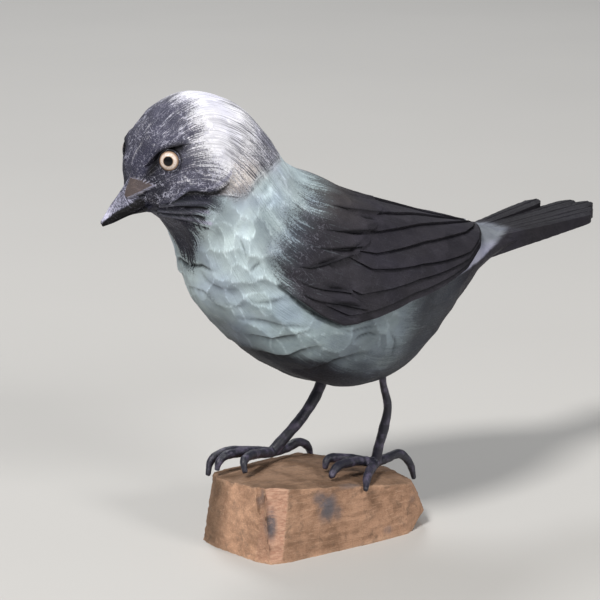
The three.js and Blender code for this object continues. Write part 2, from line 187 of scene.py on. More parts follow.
SHOULDER_ROWS = 84
FEATHER_PLACES = (0, 0.03, 0.08, 0.16, 0.28, 0.4, 0.52, 0.64, 0.76, 0.88, 0.96, 1)
FEATHER_STEP = 1.2
GROOVE = 0.45  # a cut along the foot of each feather's step

# Tail feathers: y at the root, end x, end y, width at the root and end, height of the end's top
TAIL = [
    (-8, 146, -14, 6, 9, 120.8),
    (8, 140.5, 13.5, 6, 9, 122.4),
    (-5, 153, -7.5, 6, 9.5, 120.8),
    (5, 155, 6, 6, 9.5, 121.4),
    (0, 159.4, -0.5, 7, 10, 121.4),
]
TAIL_ROOT_X, TAIL_ROOT_Z, TAIL_ROOT_THICK = 92, 116, 9
TAIL_END_THICK = 3.6
TAIL_GRID = (60, 15)

EYE_PLACE = {LEFT: (2.8, 66.5), RIGHT: (2.95, 68)}
EYE_LOOK = {LEFT: (-0.72, -0.72, 0.09), RIGHT: (-0.5, 0.86, 0.07)}  # the way each pupil faces
EYE_RADIUS = 4.6
EYE_SUNK = {LEFT: 2.6, RIGHT: 3.8}
LID_RADIUS, LID_THICK = 3.95, 0.55
LID_TURNS, LID_SIDES = 48, 12
SOCKET_GAP = 0.15
BALL_RINGS = 24

# The eye's rings, each as the distances from its middle between which one shade becomes the next
PUPIL_END = (1.75, 1.95)
IRIS_START = (1.8, 2.25)
IRIS_END = (2.95, 3.45)
RIM_START = (3.6, 3.85)

LEGS = {
    "left_leg": {
        "leg": [(30.5, -14, 72), (31, -14, 62), (34, -13.6, 51), (32.4, -13, 41), (30.2, -12.4, 33),
                (29, -12, 26.2)],
        "radii": [1.6, 1.6, 1.8, 2.2, 2.1, 2.4],
        "toes": [
            [(29, -12, 26.2), (20, -13.6, 29.4), (10, -17, 31.4), (3, -20, 32.2), (-1.6, -22, 30.2),
             (-1.8, -23.2, 28.9)],
            [(28, -11, 26.4), (18, -10, 29.6), (9.6, -9, 31.6), (5, -9.6, 31.6), (3.2, -10.6, 28.2)],
            [(28, -12.6, 26), (21, -19, 26.8), (13, -27, 27.4), (7.5, -33, 24.4)],
            [(29, -12, 26.2), (37, -10, 26.4), (45, -8.6, 26.2), (51, -8, 20.4), (53.5, -8, 13)],
        ],
    },
    "right_leg": {
        "leg": [(23, 12, 70), (18.5, 12, 59), (14, 12.2, 51), (7.6, 12.6, 43.6), (0.4, 13.4, 37),
                (-6.4, 14, 31.2)],
        "radii": [2.5, 2.5, 2.45, 2.4, 2.4, 2.5],
        "toes": [
            [(-6.4, 14, 31), (-16, 12.6, 33.6), (-26, 10.6, 35.4), (-33, 9.6, 36), (-37, 9, 34),
             (-38.4, 8.6, 30.6)],
            [(-7, 14.4, 31), (-18, 16, 33.4), (-28, 18, 34.2), (-34.6, 18.4, 31.6), (-37.6, 16.6, 26)],
            [(-7, 13.4, 31), (-17, 8, 34), (-26, 2.4, 36.4), (-31.6, -1.4, 36), (-32.6, -3.8, 31.8)],
            [(-6.4, 14, 31), (2, 15.8, 30.6), (10, 17.4, 31.4), (16, 18.8, 27.6), (19, 20.4, 20)],
        ],
    },
}
TOE_RADII = [2.1, 2.1, 1.9, 1.1]
LEG_GAP = 0.12
LEG_VOXEL = 0.42
TUBE_SIDES, TUBE_STEP = 14, 0.8

BLOCK = [
    (-43.3, 12.6, 0), (-44, 3.5, 0), (-41.6, -9, 0), (-39.7, -21.4, 0), (-36.5, -27.8, 0),
    (-29, -30, 0), (-13, -31, 0), (15, -32.8, 0), (30, -32.6, 0), (34.5, -30.5, 0), (45, -20, 0),
    (42, 17, 0), (-36, 20, 0), (43.5, -28, 6.5), (48.5, -6, 7), (46, 12, 8), (-38, -27, 32.3),
    (-10, -30.6, 28.8), (33, -30.6, 21.6), (41, -6, 20.6), (39, 15, 19.6), (10, 20, 26.6),
    (-35.6, 16, 28), (-40.4, 6, 28.6), (43, -20, 18), (46, -20, 12),
]
# Chips: corners of the face that each leaves on the block, the way it went, how fresh the wood is
CHIPS = [
    ([(-37.6, -23.8, 33), (-27.6, -27.9, 33), (-31.8, -28.7, 1), (-36.6, -27, 1)], (-0.25, -1, 0), 1),
    ([(-37.4, -24.4, 25), (-38, -23.4, 24), (-39.2, -20.4, 1), (-36.7, -26.6, 1)], (-1, -0.45, 0), 0.55),
    ([(-37.6, -18.7, 33), (-36.4, -24.4, 33), (-37.2, -23.8, 20), (-37.8, -21.6, 21)], (-1, -0.4, 0), 0),
]
CHIP_REACH = 12
SAWN_DEPTH = 0.7
BLOCK_VOXEL = 0.75

BIRD_SHARP, BLOCK_SHARP = 38, 45  # edges that turn by more degrees than this are shaded sharp

# The stage: lights as name, place in metres, width, watts and colour
TARGET = (-2, 0, 100)
FLOOR_REACH, FLOOR_THICK = 6000, 30
SKY, SKY_STRENGTH = (0.95, 0.97, 1.0, 1), 0.19
LIGHTS = [
    ("key", (-1.7, -0.65, 2.55), 0.7, 84, (1.0, 0.985, 0.96)),
    ("side", (0.7, -2.7, 1.4), 0.8, 42, (1.0, 0.99, 0.97)),
    ("rim", (0.9, 2.2, 2.8), 1.2, 48, (0.96, 0.98, 1.0)),
]


# Curves and skin


def smooth(value, low, high):
    """0 below low, 1 above high and a smooth step between."""
    t = np.clip((np.asarray(value, float) - low) / (high - low), 0, 1)
    return t * t * (3 - 2 * t)


def mix(a, b, share):
    """a where the share is 0, b where it is 1, and between them in proportion."""
    return a + (b - a) * share


def bent(value, power):
    """A power of the value that keeps its sign."""
    return np.sign(value) * np.abs(value) ** power


def between(rows, at):
    """Points between the rows of a table, on a smooth curve through them."""
    rows = np.asarray(rows, float)
    padded = np.vstack([2 * rows[0] - rows[1], rows, 2 * rows[-1] - rows[-2]])
    i = np.clip(np.floor(at).astype(int), 0, len(rows) - 2)
    t = (at - i)[..., None]
    a, b, c, d = (padded[i + k] for k in range(4))
    return 0.5 * (2 * b + (c - a) * t + (2 * a - 5 * b + 4 * c - d) * t**2 + (3 * b - a - 3 * c + d) * t**3)


def height_on(points, x):
    """The height of a broken line of (x, y) points at x."""
    xs, ys = zip(*points)
    return np.interp(x, xs, ys)


def on_line(points, share):
    """The points of a broken line at shares of its points."""
    points = np.asarray(points, float)
    at = np.asarray(share, float) * (len(points) - 1)
    return np.stack([np.interp(at, np.arange(len(points)), column) for column in points.T], axis=-1)


def skin(section, degrees):
    """The body's smooth surface. Positive degrees go round the bird's left side."""
    section, degrees = np.broadcast_arrays(np.asarray(section, float), np.asarray(degrees, float))
    back_x, back_z, belly_x, belly_z, half, widest, square = np.moveaxis(between(SECTIONS, section), -1, 0)
    angle = np.radians(degrees)
    up = bent(np.cos(angle), 2 / square)
    mid_x, mid_z = mix(belly_x, back_x, widest), mix(belly_z, back_z, widest)
    x = mid_x + np.where(up > 0, back_x - mid_x, mid_x - belly_x) * up
    z = mid_z + np.where(up > 0, back_z - mid_z, mid_z - belly_z) * up
    return np.stack([x, -half * bent(np.sin(angle), 2 / square), z], axis=-1)


def unit(vectors):
    """Vectors of the same directions with length 1."""
    return vectors / np.maximum(np.linalg.norm(vectors, axis=-1, keepdims=True), 1e-9)


def outward(section, degrees):
    """The skin's direction out of the body."""
    lengthwise = skin(section + 0.05, degrees) - skin(section - 0.05, degrees)
    around = skin(section, degrees + 2) - skin(section, degrees - 2)
    return unit(np.cross(around, lengthwise))


def other_side(points, side):
    """The same points on the bird's left or right side."""
    return points * np.array([1, side, 1])


def mirrored(points):
    """The points, with those on the right moved to the left side."""
    return np.stack([points[:, 0], -np.abs(points[:, 1]), points[:, 2]], -1)


def skin_line(line):
    """A line of (section, degrees) as points on the skin."""
    return skin(*np.asarray(line, float).T)


# Carving

CUT_SEED, TONE_SEED = 7, 11
RIDGE_DEPTH = 0.12
RIDGE_REACH = 0.13
POINTS_AT_ONCE = 4000


class Cuts:
    """The knife's cuts: shallow hollows that meet in ridges."""

    def __init__(self, seed):
        self.draw = np.random.default_rng(seed)
        self.rows = []

    def add(self, centre, lengthwise, out, length, width, depth):
        across = np.cross(out, lengthwise)
        self.rows.append((centre, lengthwise, across, out, length, width, depth))

    def cover(self, zone):
        """Cuts in staggered rows over the whole skin. zone gives length, width and depth at a place."""
        section, row = 0.3, 0
        while section < LAST_SECTION:
            length = zone(section, 90)[0]
            for side in (LEFT, RIGHT):
                degrees = 10.0 * (row % 2)
                while degrees < 180:
                    long, width, depth = zone(section, degrees)
                    arc = np.linalg.norm(skin(section, degrees + 1) - skin(section, degrees))
                    turn = width / max(arc, 0.08)
                    at = section + self.draw.uniform(-0.3, 0.3) * long / self.pace(section, degrees)
                    angle = degrees + self.draw.uniform(-0.38, 0.38) * turn
                    self.place(at, angle * side, long, width, depth)
                    degrees += turn
            section += 0.8 * length / self.pace(section, 90)
            row += 1

    @staticmethod
    def pace(section, degrees):
        """Millimetres along the skin for one section."""
        return max(np.linalg.norm(skin(section + 0.1, degrees) - skin(section - 0.1, degrees)) / 0.2, 2)

    def place(self, section, degrees, length, width, depth):
        section, degrees = np.float64(section), np.float64(degrees)
        out = outward(section, degrees)
        ahead = unit(skin(section + 0.1, degrees) - skin(section - 0.1, degrees))
        turn = self.draw.normal(0, 0.45)
        lengthwise = unit(ahead * math.cos(turn) + np.cross(out, ahead) * math.sin(turn))
        stretch = self.draw.uniform(0.7, 1.5)
        self.add(skin(section, degrees), lengthwise, out, length * stretch, width / stretch**0.5,
                 depth * self.draw.uniform(0.5, 1.35))

    def depth_at(self, points):
        """How deep the cuts reach at points near the skin, how close a ridge is, and whose cut it is."""
        flat = points.reshape(-1, 3)
        centre, ahead, across, out, length, width, depth = (
            np.array([row[k] for row in self.rows]) for k in range(7))
        # Two equal cuts that lie side by side meet in a ridge this far below the skin.
        bend_a = (depth - RIDGE_DEPTH) / (0.5 * length) ** 2
        bend_b = (depth - RIDGE_DEPTH) / (0.5 * width) ** 2
        lowest = np.zeros(len(flat))
        second = np.zeros(len(flat))
        owner = np.zeros(len(flat), int)
        for start in range(0, len(flat), POINTS_AT_ONCE):
            now = slice(start, start + POINTS_AT_ONCE)
            rise = -depth[None, :]
            for axis, bend in ((ahead, bend_a), (across, bend_b), (out, np.full(len(depth), 0.02))):
                rise = rise + bend * (flat[now] @ axis.T - (centre * axis).sum(1)) ** 2
            owner[now] = rise.argmin(1)
            two = np.partition(rise, 1, axis=1)[:, :2]
            lowest[now] = np.minimum(two[:, 0], 0)
            second[now] = np.minimum(two[:, 1], 0.3)
        ridge = np.clip(1 - (second - lowest) / RIDGE_REACH, 0, 1)
        shape = points.shape[:-1]
        return -lowest.reshape(shape), ridge.reshape(shape), owner.reshape(shape)


def cut_size(section, degrees, share):
    """Length, width and depth of a cut at a place on the skin."""
    if section < 4 and degrees < 118:
        return 11, 8, 0.7 * share
    if degrees < height_on(HOOD_EDGE, section):
        return 15, 6, 0.26 * share
    if in_wing(section, degrees):
        return 20, 8, 0.26 * share
    if section < 9.2:
        return 15, 11.5, (0.9 if degrees > 92 else 0.3) * share
    if section < 15.5:
        return 32, 11, 0.9 * share
    return 14, 7, 0.4 * share


def in_wing(section, degrees):
    """Whether places on the skin lie under a wing."""
    front, rear = WING_SECTIONS
    return (section > front) & (section < rear) & (np.abs(degrees) < height_on(WING_EDGE, section))


# Grooves drawn on the left side: line on the skin, width, depth
STROKES = [
    ([(6.45, 183), (6.45, 174), (6.5, 162), (7.1, 146)], 1.5, 1.3),
    ([(7.35, 80), (7.75, 60)], 0.7, 0.45),
    ([(7.6, 84), (8, 66)], 0.7, 0.4),
    ([(7.9, 62), (8.35, 44)], 0.7, 0.4),
    ([(7.5, 72), (7.85, 56)], 0.7, 0.4),
    ([(12.2, 119), (12.3, 114.5), (12.5, 111), (13, 109)], 1.3, 0.8),
    ([(12.85, 105), (13.4, 112.5), (13.8, 127)], 1.5, 0.7),
    ([(8.3, 105), (8.2, 112), (8.1, 122)], 1.1, 0.6),
    ([(7, 109.5), (7.4, 112), (7.85, 114.5)], 1.1, 0.6),
    ([(11.15, 110), (11.9, 113.5), (12.4, 107), (12.85, 101.5)], 1.4, 0.6),
    ([(9.15, 107.5), (10.1, 109), (10.8, 111.5), (11.5, 112), (12.3, 103.5)], 1.7, 1.7),
    # Along the feet of the throat's layers
    ([(1.9, 140), (2.7, 133.5), (3.4, 128), (4.2, 124), (5, 119), (5.7, 114)], 1.2, 1),
    ([(2.2, 157), (3, 150), (3.7, 142), (4.4, 134), (5, 129.5)], 1.2, 1),
    ([(2.7, 173), (3.4, 161), (4.1, 150), (4.8, 143), (5.4, 136)], 1.2, 0.9),
    # Wedges between the shoulder feathers
    ([(10.95, 44), (11.5, 42.5)], 1.3, 1.2),
    ([(10.5, 60), (11.2, 55.5)], 1.3, 1.2),
    ([(10, 74.5), (10.75, 70), (11.05, 62.5)], 1.4, 1.3),
    ([(9.7, 87.5), (10.6, 74)], 1.4, 1.3),
    ([(10.25, 93), (11.2, 91.5)], 1.4, 1.3),
    ([(10.7, 100.5), (11.75, 97)], 1.4, 1.3),
]

# Lower edges of planes that overlap on the breast and belly: the hollow runs out slowly below them
OVERLAPS = [
    ([(8.55, 136), (9, 129.5), (9.4, 118), (9.7, 106.5), (10, 100)], 1.3, 0.6),
    ([(8.4, 153.5), (8.6, 148), (8.75, 143), (8.65, 133.5)], 1.2, 0.6),
    ([(7.4, 191), (7.65, 168), (8.3, 163.5), (8.8, 156.5)], 1.3, 0.8),
    ([(8.95, 155.5), (9.55, 138.5), (10.4, 126), (11, 119.5)], 1.2, 0.7),
    ([(9.7, 162), (10.15, 151.5), (10.45, 143.5), (10.8, 129), (11, 119.5)], 1.5, 1.1),
    ([(10.55, 172), (11, 160), (11.3, 149.5), (11.4, 136), (11.75, 125)], 1.6, 1.2),
    ([(11.9, 161.5), (12.15, 148.5), (12.35, 134.5), (12.65, 126), (13.05, 119.5)], 1.5, 1),
    ([(6.5, 167), (7.25, 159.5), (7.85, 146.5), (8.25, 134.5)], 1.2, 0.6),
]
RUN_OUT = 3.6  # how many times as far as the hollow reaches up
STROKE_PIECES = 13


def stroke_depth(points):
    """Depth of the listed grooves, on both sides of the bird."""
    near = mirrored(points.reshape(-1, 3))
    total = np.zeros(len(near))
    for (line, width, depth), below in [(row, 1) for row in STROKES] + [(row, RUN_OUT) for row in OVERLAPS]:
        path = skin_line(on_line(line, np.linspace(0, 1, STROKE_PIECES + 1)))
        fade = np.sin(np.linspace(0.15, math.pi - 0.15, STROKE_PIECES))
        for a, b, strength in zip(path[:-1], path[1:], fade):
            share = np.clip((near - a) @ (b - a) / max(((b - a) ** 2).sum(), 1e-9), 0, 1)
            offset = near - a - share[:, None] * (b - a)
            reach = np.where(offset[:, 2] < 0, width * below, width)
            closeness = np.clip(1 - np.linalg.norm(offset, axis=1) / reach, 0, 1)
            total = np.maximum(total, depth * strength * closeness)
    return total.reshape(points.shape[:-1])


# Hollows in front of the eye and above it: place, weight of each direction, reach, depth
SOCKET_HOLLOWS = [((1.95, 50), (1, 1, 0.8), 7, 1.5), ((2.75, 54), (0.7, 1, 1.2), 6, 0.7)]


def socket_depth(section, degrees):
    """The hollow below the brow, deepest in front of the eye."""
    point = skin(section, np.abs(degrees))
    total = 0
    for place, weights, reach, depth in SOCKET_HOLLOWS:
        away = np.linalg.norm((point - skin(*place)) * np.array(weights), axis=-1)
        total = total + depth * (1 - smooth(away, 1, reach))
    return total


CUTS = Cuts(CUT_SEED)

# Single broad cuts on the breast and face: place, length, width, depth
FACETS = [
    ((6.1, 132), 10.5, 10, 1.3), ((7, 128), 13, 9, 1.15), ((7.6, 118), 10, 7, 1.1),
    ((7.1, 104), 12, 9, 1.05), ((8.2, 112), 9, 8, 1.1), ((8.5, 128), 16, 9, 1.2),
    ((8.3, 141), 13, 10, 1.2), ((9.2, 112), 14, 8, 1.1), ((9.6, 134), 15, 7, 1.1),
    ((2.8, 13), 10, 9, 0.9), ((3.65, 39), 9, 8, 0.9), ((3.8, 0.5), 9, 8, 0.8),
    ((1.75, 2), 9, 7, 0.8), ((3.25, 86), 9, 7, 0.6), ((4, 102), 9, 7, 0.6),
    ((2.35, 98.5), 8, 7, 0.6), ((4.35, 78.5), 9, 8, 0.5), ((4.4, 32), 9, 7, 0.5),
    ((1.15, 70.5), 8, 6, 0.6),
]
PARING = 0.12  # taken off everywhere, which keeps the carving within the plain form
FAR_CHEEK = np.array([-81.0, 9.5, 160.0])  # the right side of the face is a little flatter here
FAR_CHEEK_DEPTH = 1.5


def relief(section, degrees, side=LEFT, share=1):
    """How deep the carving goes below the skin, with a share of the knife's cuts."""
    base = other_side(skin(section, degrees), side)
    depth = CUTS.depth_at(base)[0]
    far = np.linalg.norm(base - FAR_CHEEK, axis=-1)
    flatter = FAR_CHEEK_DEPTH * (1 - smooth(far, 1.5, 8))
    return PARING + share * depth + stroke_depth(base) + socket_depth(section, degrees) + flatter


def on_skin(section, degrees, lift, side=LEFT):
    """Points lifted off the skin, on the bird's left or right side."""
    lift = np.asarray(lift)
    return other_side(skin(section, degrees) + outward(section, degrees) * lift[..., None], side)


# Meshes


def solid(points, faces):
    """A closed body as (points, faces), its faces turned to point out."""
    points = np.asarray(points, float)
    volume = 0
    for size in {len(face) for face in faces}:
        group = np.array([face for face in faces if len(face) == size])
        for k in range(1, size - 1):
            a, b, c = points[group[:, 0]], points[group[:, k]], points[group[:, k + 1]]
            volume += (a * np.cross(b, c)).sum()
    return points, faces if volume > 0 else [face[::-1] for face in faces]


def loft(rings):
    """A closed loft through rings of points, with a point in the middle of each end."""
    rings = np.asarray(rings, float)
    count, sides = rings.shape[:2]
    points = [*rings.reshape(-1, 3), rings[0].mean(0), rings[-1].mean(0)]
    faces = []
    for i in range(count - 1):
        for j in range(sides):
            a, b = i * sides + j, i * sides + (j + 1) % sides
            faces.append((a, b, b + sides, a + sides))
    for j in range(sides):
        following = (j + 1) % sides
        faces.append((following, j, count * sides))
        faces.append(((count - 1) * sides + j, (count - 1) * sides + following, count * sides + 1))
    return solid(points, faces)


def slab(top, bottom):
    """A closed slab between two grids of points of the same size."""
    rows, columns = top.shape[:2]
    under = rows * columns
    faces = []
    for i in range(rows - 1):
        for j in range(columns - 1):
            a = i * columns + j
            faces.append((a, a + 1, a + columns + 1, a + columns))
            faces.append((under + a, under + a + columns, under + a + columns + 1, under + a + 1))
    rim = [*range(columns), *(i * columns + columns - 1 for i in range(1, rows)),
           *((rows - 1) * columns + j for j in range(columns - 2, -1, -1)),
           *(i * columns for i in range(rows - 2, 0, -1))]
    faces += [(b, a, under + a, under + b) for a, b in zip(rim, rim[1:] + rim[:1])]
    return solid(np.concatenate([top.reshape(-1, 3), bottom.reshape(-1, 3)]), faces)


def mesh_object(name, points, faces):
    """A Blender object of points in millimetres."""
    mesh = bpy.data.meshes.new(name)
    mesh.from_pydata((np.asarray(points) * MM).tolist(), [], [tuple(int(i) for i in face) for face in faces])
    obj = bpy.data.objects.new(name, mesh)
    bpy.context.scene.collection.objects.link(obj)
    return obj


def lay_on(mesh, name, values):
    """Stores a value, or three, at each vertex."""
    values = np.asarray(values, np.float32)
    if values.ndim == 1:
        layer = mesh.attributes.new(name, "FLOAT", "POINT")
        layer.data.foreach_set("value", values)
    else:
        layer = mesh.attributes.new(name, "FLOAT_VECTOR", "POINT")
        layer.data.foreach_set("vector", np.ascontiguousarray(values).ravel())


def vertex_points(mesh):
    """The mesh's vertices in millimetres."""
    points = np.empty(len(mesh.vertices) * 3)
    mesh.vertices.foreach_get("co", points)
    return points.reshape(-1, 3) / MM


def vertex_normals(mesh):
    """The way the surface faces at each vertex."""
    normals = np.empty(len(mesh.vertices) * 3)
    mesh.vertex_normals.foreach_get("vector", normals)
    return normals.reshape(-1, 3)


def settle(obj):
    """Applies an object's modifiers to its mesh."""
    depsgraph = bpy.context.evaluated_depsgraph_get()
    finished = bpy.data.meshes.new_from_object(obj.evaluated_get(depsgraph))
    old = obj.data
    obj.modifiers.clear()
    obj.data = finished
    finished.name = obj.name
    bpy.data.meshes.remove(old)
    return obj


def combine(whole, parts, operation):
    """Unites an object with solids, or takes them from it."""
    for part in parts:
        tool = mesh_object("tool", *part)
        step = whole.modifiers.new("join", "BOOLEAN")
        step.operation, step.solver, step.object = operation, "MANIFOLD", tool
        settle(whole)
        bpy.data.meshes.remove(tool.data)
    if not whole.data.polygons:
        raise RuntimeError(f"{whole.name} came out empty")
    return whole


def joined(name, parts):
    """One mesh object of several solids."""
    return combine(mesh_object(name, *parts[0]), parts[1:], "UNION")


def cut_from(whole, parts):
    """The object with some solids taken from it."""
    return combine(whole, parts, "DIFFERENCE")


def ball(centre, radius):
    """A round ball as (points, faces)."""
    angles = np.linspace(0, math.pi, BALL_RINGS + 1)[1:-1]
    turns = np.linspace(0, 2 * math.pi, 2 * BALL_RINGS, endpoint=False)
    grid = np.stack([np.outer(np.sin(angles), np.cos(turns)), np.outer(np.sin(angles), np.sin(turns)),
                     np.outer(np.cos(angles), np.ones(len(turns)))], axis=-1)
    points, faces = loft(grid * radius + centre)
    points[-2] = centre + np.array([0, 0, radius])
    points[-1] = centre - np.array([0, 0, radius])
    return points, faces


def eye_centre(side):
    """The middle of an eye, which lies below the skin."""
    section, degrees = map(np.float64, EYE_PLACE[side])
    return on_skin(section, degrees, -EYE_SUNK[side], side)


# The bird's parts


def even(low, high, count, weight):
    """Values from low to high, closer together where the weight is greater."""
    fine = np.linspace(low, high, 2001)
    total = np.concatenate([[0], np.cumsum(weight(fine[:-1], fine[1:]))])
    return np.interp(np.linspace(0, total[-1], count), total, fine)


def body():
    """The body without its feathers, its mesh finest on the breast."""
    def lengthwise(a, b):
        way = sum(np.linalg.norm(skin(b, angle) - skin(a, angle), axis=-1) for angle in (15.0, 90.0, 165.0))
        return way * (1 + 0.7 * smooth(a, 3.5, 5) * (1 - smooth(a, 12.5, 14)))

    sections = even(0, LAST_SECTION, BODY_RINGS, lengthwise)
    half = even(0, 180, BODY_SIDES // 2 + 1, lambda a, b: (b - a) * (1 + 0.9 * smooth(a, 70, 85)))
    section, angle = np.meshgrid(sections, np.concatenate([half, -half[-2:0:-1]]), indexing="ij")
    return loft(on_skin(section, angle, -relief(section, angle)))


def standing(section, degrees, lift, side, share=1):
    """A slab from below the skin to a height above it, carved on top with a share of the cuts."""
    height = lift - relief(section, degrees, side, share)
    below = np.full(section.shape, UNDERSIDE)
    return slab(on_skin(section, degrees, height, side), on_skin(section, degrees, below, side))


def patch(place, lift, grid, side):
    """A raised patch of the skin. place and lift take shares of the way along it and across it."""
    s, t = np.meshgrid(*(np.linspace(0, 1, count) for count in grid), indexing="ij")
    section, degrees = np.moveaxis(place(s, t), -1, 0)
    return standing(section, degrees, lift(s, t), side)


def hood(side, step):
    """The hood, a step higher than the neck along its rim."""
    def place(s, t):
        return mix(on_line(HOOD_EDGE, s), np.array(HOOD_HEART), (HOOD_INNER * (1 - t))[..., None])

    def lift(s, t):
        notched = 0.12 * np.sin(s * 95) * np.sin(s * 37 + 1) * smooth(s, 0.5, 0.6)
        height = step * smooth(s, -0.03, 0.15) * mix(1, 0.12, smooth(s, 0.38, 0.56)) + notched
        return mix(BURIED, height, smooth(t, -0.3, 0.9))

    return patch(place, lift, HOOD_GRID, side)


def cheek(side, step):
    """The cheek, a scalloped layer on top of the hood."""
    def place(s, t):
        return mix(on_line(CHEEK_EDGE, s), np.array(CHEEK_HEART), (CHEEK_INNER * (1 - t))[..., None])

    def lift(s, t):
        height = HOOD_STEP + step * smooth(s, -0.05, 0.2) * (1 - smooth(s, 0.84, 1.02))
        return mix(BURIED, height, smooth(t, -0.2, 0.9))

    return patch(place, lift, CHEEK_GRID, side)


def throat_layer(line, step, side):
    """One layer of throat feathers, from its lower edge up to its hidden root."""
    def place(s, t):
        return on_line(line, s) - (THROAT_DEPTH * (1 - t))[..., None] * [0, 1]

    def lift(s, t):
        return mix(BURIED, step * np.sin(math.pi * np.clip(s + 0.08, 0, 1)) ** 0.5, smooth(t, 0, 0.9))

    return patch(place, lift, THROAT_GRID, side)


def brow(side, step):
    """The brow that overhangs the eye."""
    def place(s, t):
        return on_line(BROW_EDGE, s) - (BROW_RISE * t)[..., None] * [0, 1]

    def lift(s, t):
        return mix(step * np.sin(math.pi * np.minimum(s + 0.1, 1)) + 0.5, BROW_MELT, t)

    return patch(place, lift, BROW_GRID, side)


def strip_border(k, section):
    """Where a border between the wing's strips runs, as a share of the way round to the wing's edge."""
    borders = np.array(STRIP_BORDERS)
    return mix(borders[k, 0], borders[k, 1], np.clip((section - 12) / 3, -0.4, 1.3))


def wing(side, strip_step, cut):
    """The folded wing's long feathers: strips, each with its lower edge a step above the next."""
    columns = np.arange(len(STRIP_BORDERS) - 1)[:, None] + np.array(STRIP_PLACES) * STRIP_WIDTH
    section, at = np.meshgrid(np.linspace(*WING_SECTIONS, WING_ROWS), columns.ravel(), indexing="ij")
    strip = np.floor(at).astype(int)
    t = (at - strip) / STRIP_WIDTH
    share = mix(strip_border(strip, section), strip_border(strip + 1, section), t * 0.99)
    degrees = mix(WING_TOP, height_on(WING_EDGE, section), share)
    rise = smooth(section, WING_SECTIONS[0], mix(11, 9.8, smooth(share, 0.7, 0.95)))
    leading = LEADING_EDGE * smooth(share, 0.9, 1) * (1 - smooth(section, 11.5, 12.5))
    base = mix(WING_LIFT_AT_BACK, WING_LIFT, smooth(share, 0, 0.4)) + leading
    parting = smooth(section, 10.4, 11.4)
    groove = cut * parting * (1 - smooth(t, 0, 0.12)) * (strip > 0)
    height = base + t * strip_step * parting - groove
    lift = mix(BURIED, height, rise * (1 - 0.3 * smooth(section, 15.6, 16.4)))
    return standing(section, degrees, lift, side, WING_CUT_SHARE)


def shoulder(side, cut):
    """The short feathers over the wing's root, each lapping over the next one down."""
    s, t = np.meshgrid(np.linspace(0, 1, SHOULDER_ROWS), FEATHER_PLACES, indexing="ij")
    grids = []
    for top, upper, lower in SHOULDER:
        a, b = on_line(upper, s), on_line(lower, s)
        section = mix(a[..., 0], b[..., 0], t) + 0.12 * s * 4 * t * (1 - t)
        degrees = mix(a[..., 1], b[..., 1], t * 0.992 + 0.004)
        height = top - FEATHER_STEP * (1 - t) * smooth(s, 0.2, 0.8)
        height = height - cut * (1 - smooth(t, 0, 0.12)) * smooth(s, 0.35, 0.8)
        grids.append((section, degrees, mix(BURIED, height, smooth(section, 8.9, 10.5))))
    section, degrees, lift = (np.concatenate([grid[k] for grid in grids], axis=1) for k in range(3))
    return standing(section, degrees, lift, side, WING_CUT_SHARE)


def bill(lower):
    """The upper bill, with a flat facet on each side and a band tucked in below it, or the lower one."""
    rings = []
    for at in np.linspace(0, len(BEAK) - 1, BILL_RINGS):
        x, culmen, edge, mouth, low, width = between(BEAK, np.array(at))
        if lower:
            width, x = width * LOWER_BILL_SHARE, x + LOWER_BILL_STEP
            half = [(0, mouth + 0.3), (width * 0.8, mouth + 0.3), (width, mix(low, mouth, 0.5)),
                    (width * 0.7, low)]
        else:
            half = [(width * across, mix(edge, culmen, up)) for across, up in BILL_PROFILE]
            half += [(width * 0.86, mouth)]
        half = on_line(half, np.linspace(0, 1, BILL_SIDES))
        left = [(x, -y, z) for y, z in half]
        right = [(x, y, z) for y, z in half[:0:-1]]
        rings.append(left + right)
    return loft(rings)


def plane(corners):
    """The middle and the direction of the plane that some corners lie about in."""
    middle = corners.mean(0)
    return middle, np.linalg.svd(corners - middle)[2][2]


def plate(corners, rise):
    """A flat plate on the side of the bill through some corners, with its edge bevelled."""
    middle, out = plane(corners)
    out = out * np.sign(out @ [-1, np.sign(middle[1]), 0])
    flat = corners - ((corners - middle) @ out)[:, None] * out
    flat = on_line([*flat, flat[0]], np.linspace(0, 1, NASAL_SIDES, endpoint=False))
    rings = [flat - out * NASAL_DEPTH, flat + out * (rise - NASAL_BEVEL)]
    return loft(rings + [mix(flat, middle, inward) + out * rise for inward in NASAL_RINGS])


def nasal_corners(side):
    """The corners of the plate on one side of the bill."""
    corners = other_side(np.array(NASAL), side)
    return corners if side == LEFT else corners + np.array(FAR_PLATE_SHIFT) * [1, -1, 1]


def eye_axes(side):
    """The directions across, up and ahead of an eye."""
    ahead = unit(np.array(EYE_LOOK[side]))
    across = unit(np.cross(ahead, [0, 0, 1]))
    return across, np.cross(across, ahead), ahead


def eyelid(side):
    """A thin ring of wood round the eye."""
    across, up, ahead = eye_axes(side)
    centre = eye_centre(side) + ahead * math.sqrt(EYE_RADIUS**2 - LID_RADIUS**2)
    points, faces = [], []
    for i, turn in enumerate(np.linspace(0, 2 * math.pi, LID_TURNS, endpoint=False)):
        ray = across * math.cos(turn) + up * math.sin(turn)
        for j, way in enumerate(np.linspace(0, 2 * math.pi, LID_SIDES, endpoint=False)):
            reach = LID_RADIUS + LID_THICK * math.cos(way)
            points.append(centre + ray * reach + ahead * LID_THICK * math.sin(way))
            a, b = i * LID_SIDES, (i + 1) % LID_TURNS * LID_SIDES
            k = (j + 1) % LID_SIDES
            faces.append((a + j, b + j, b + k, a + k))
    return solid(points, faces)


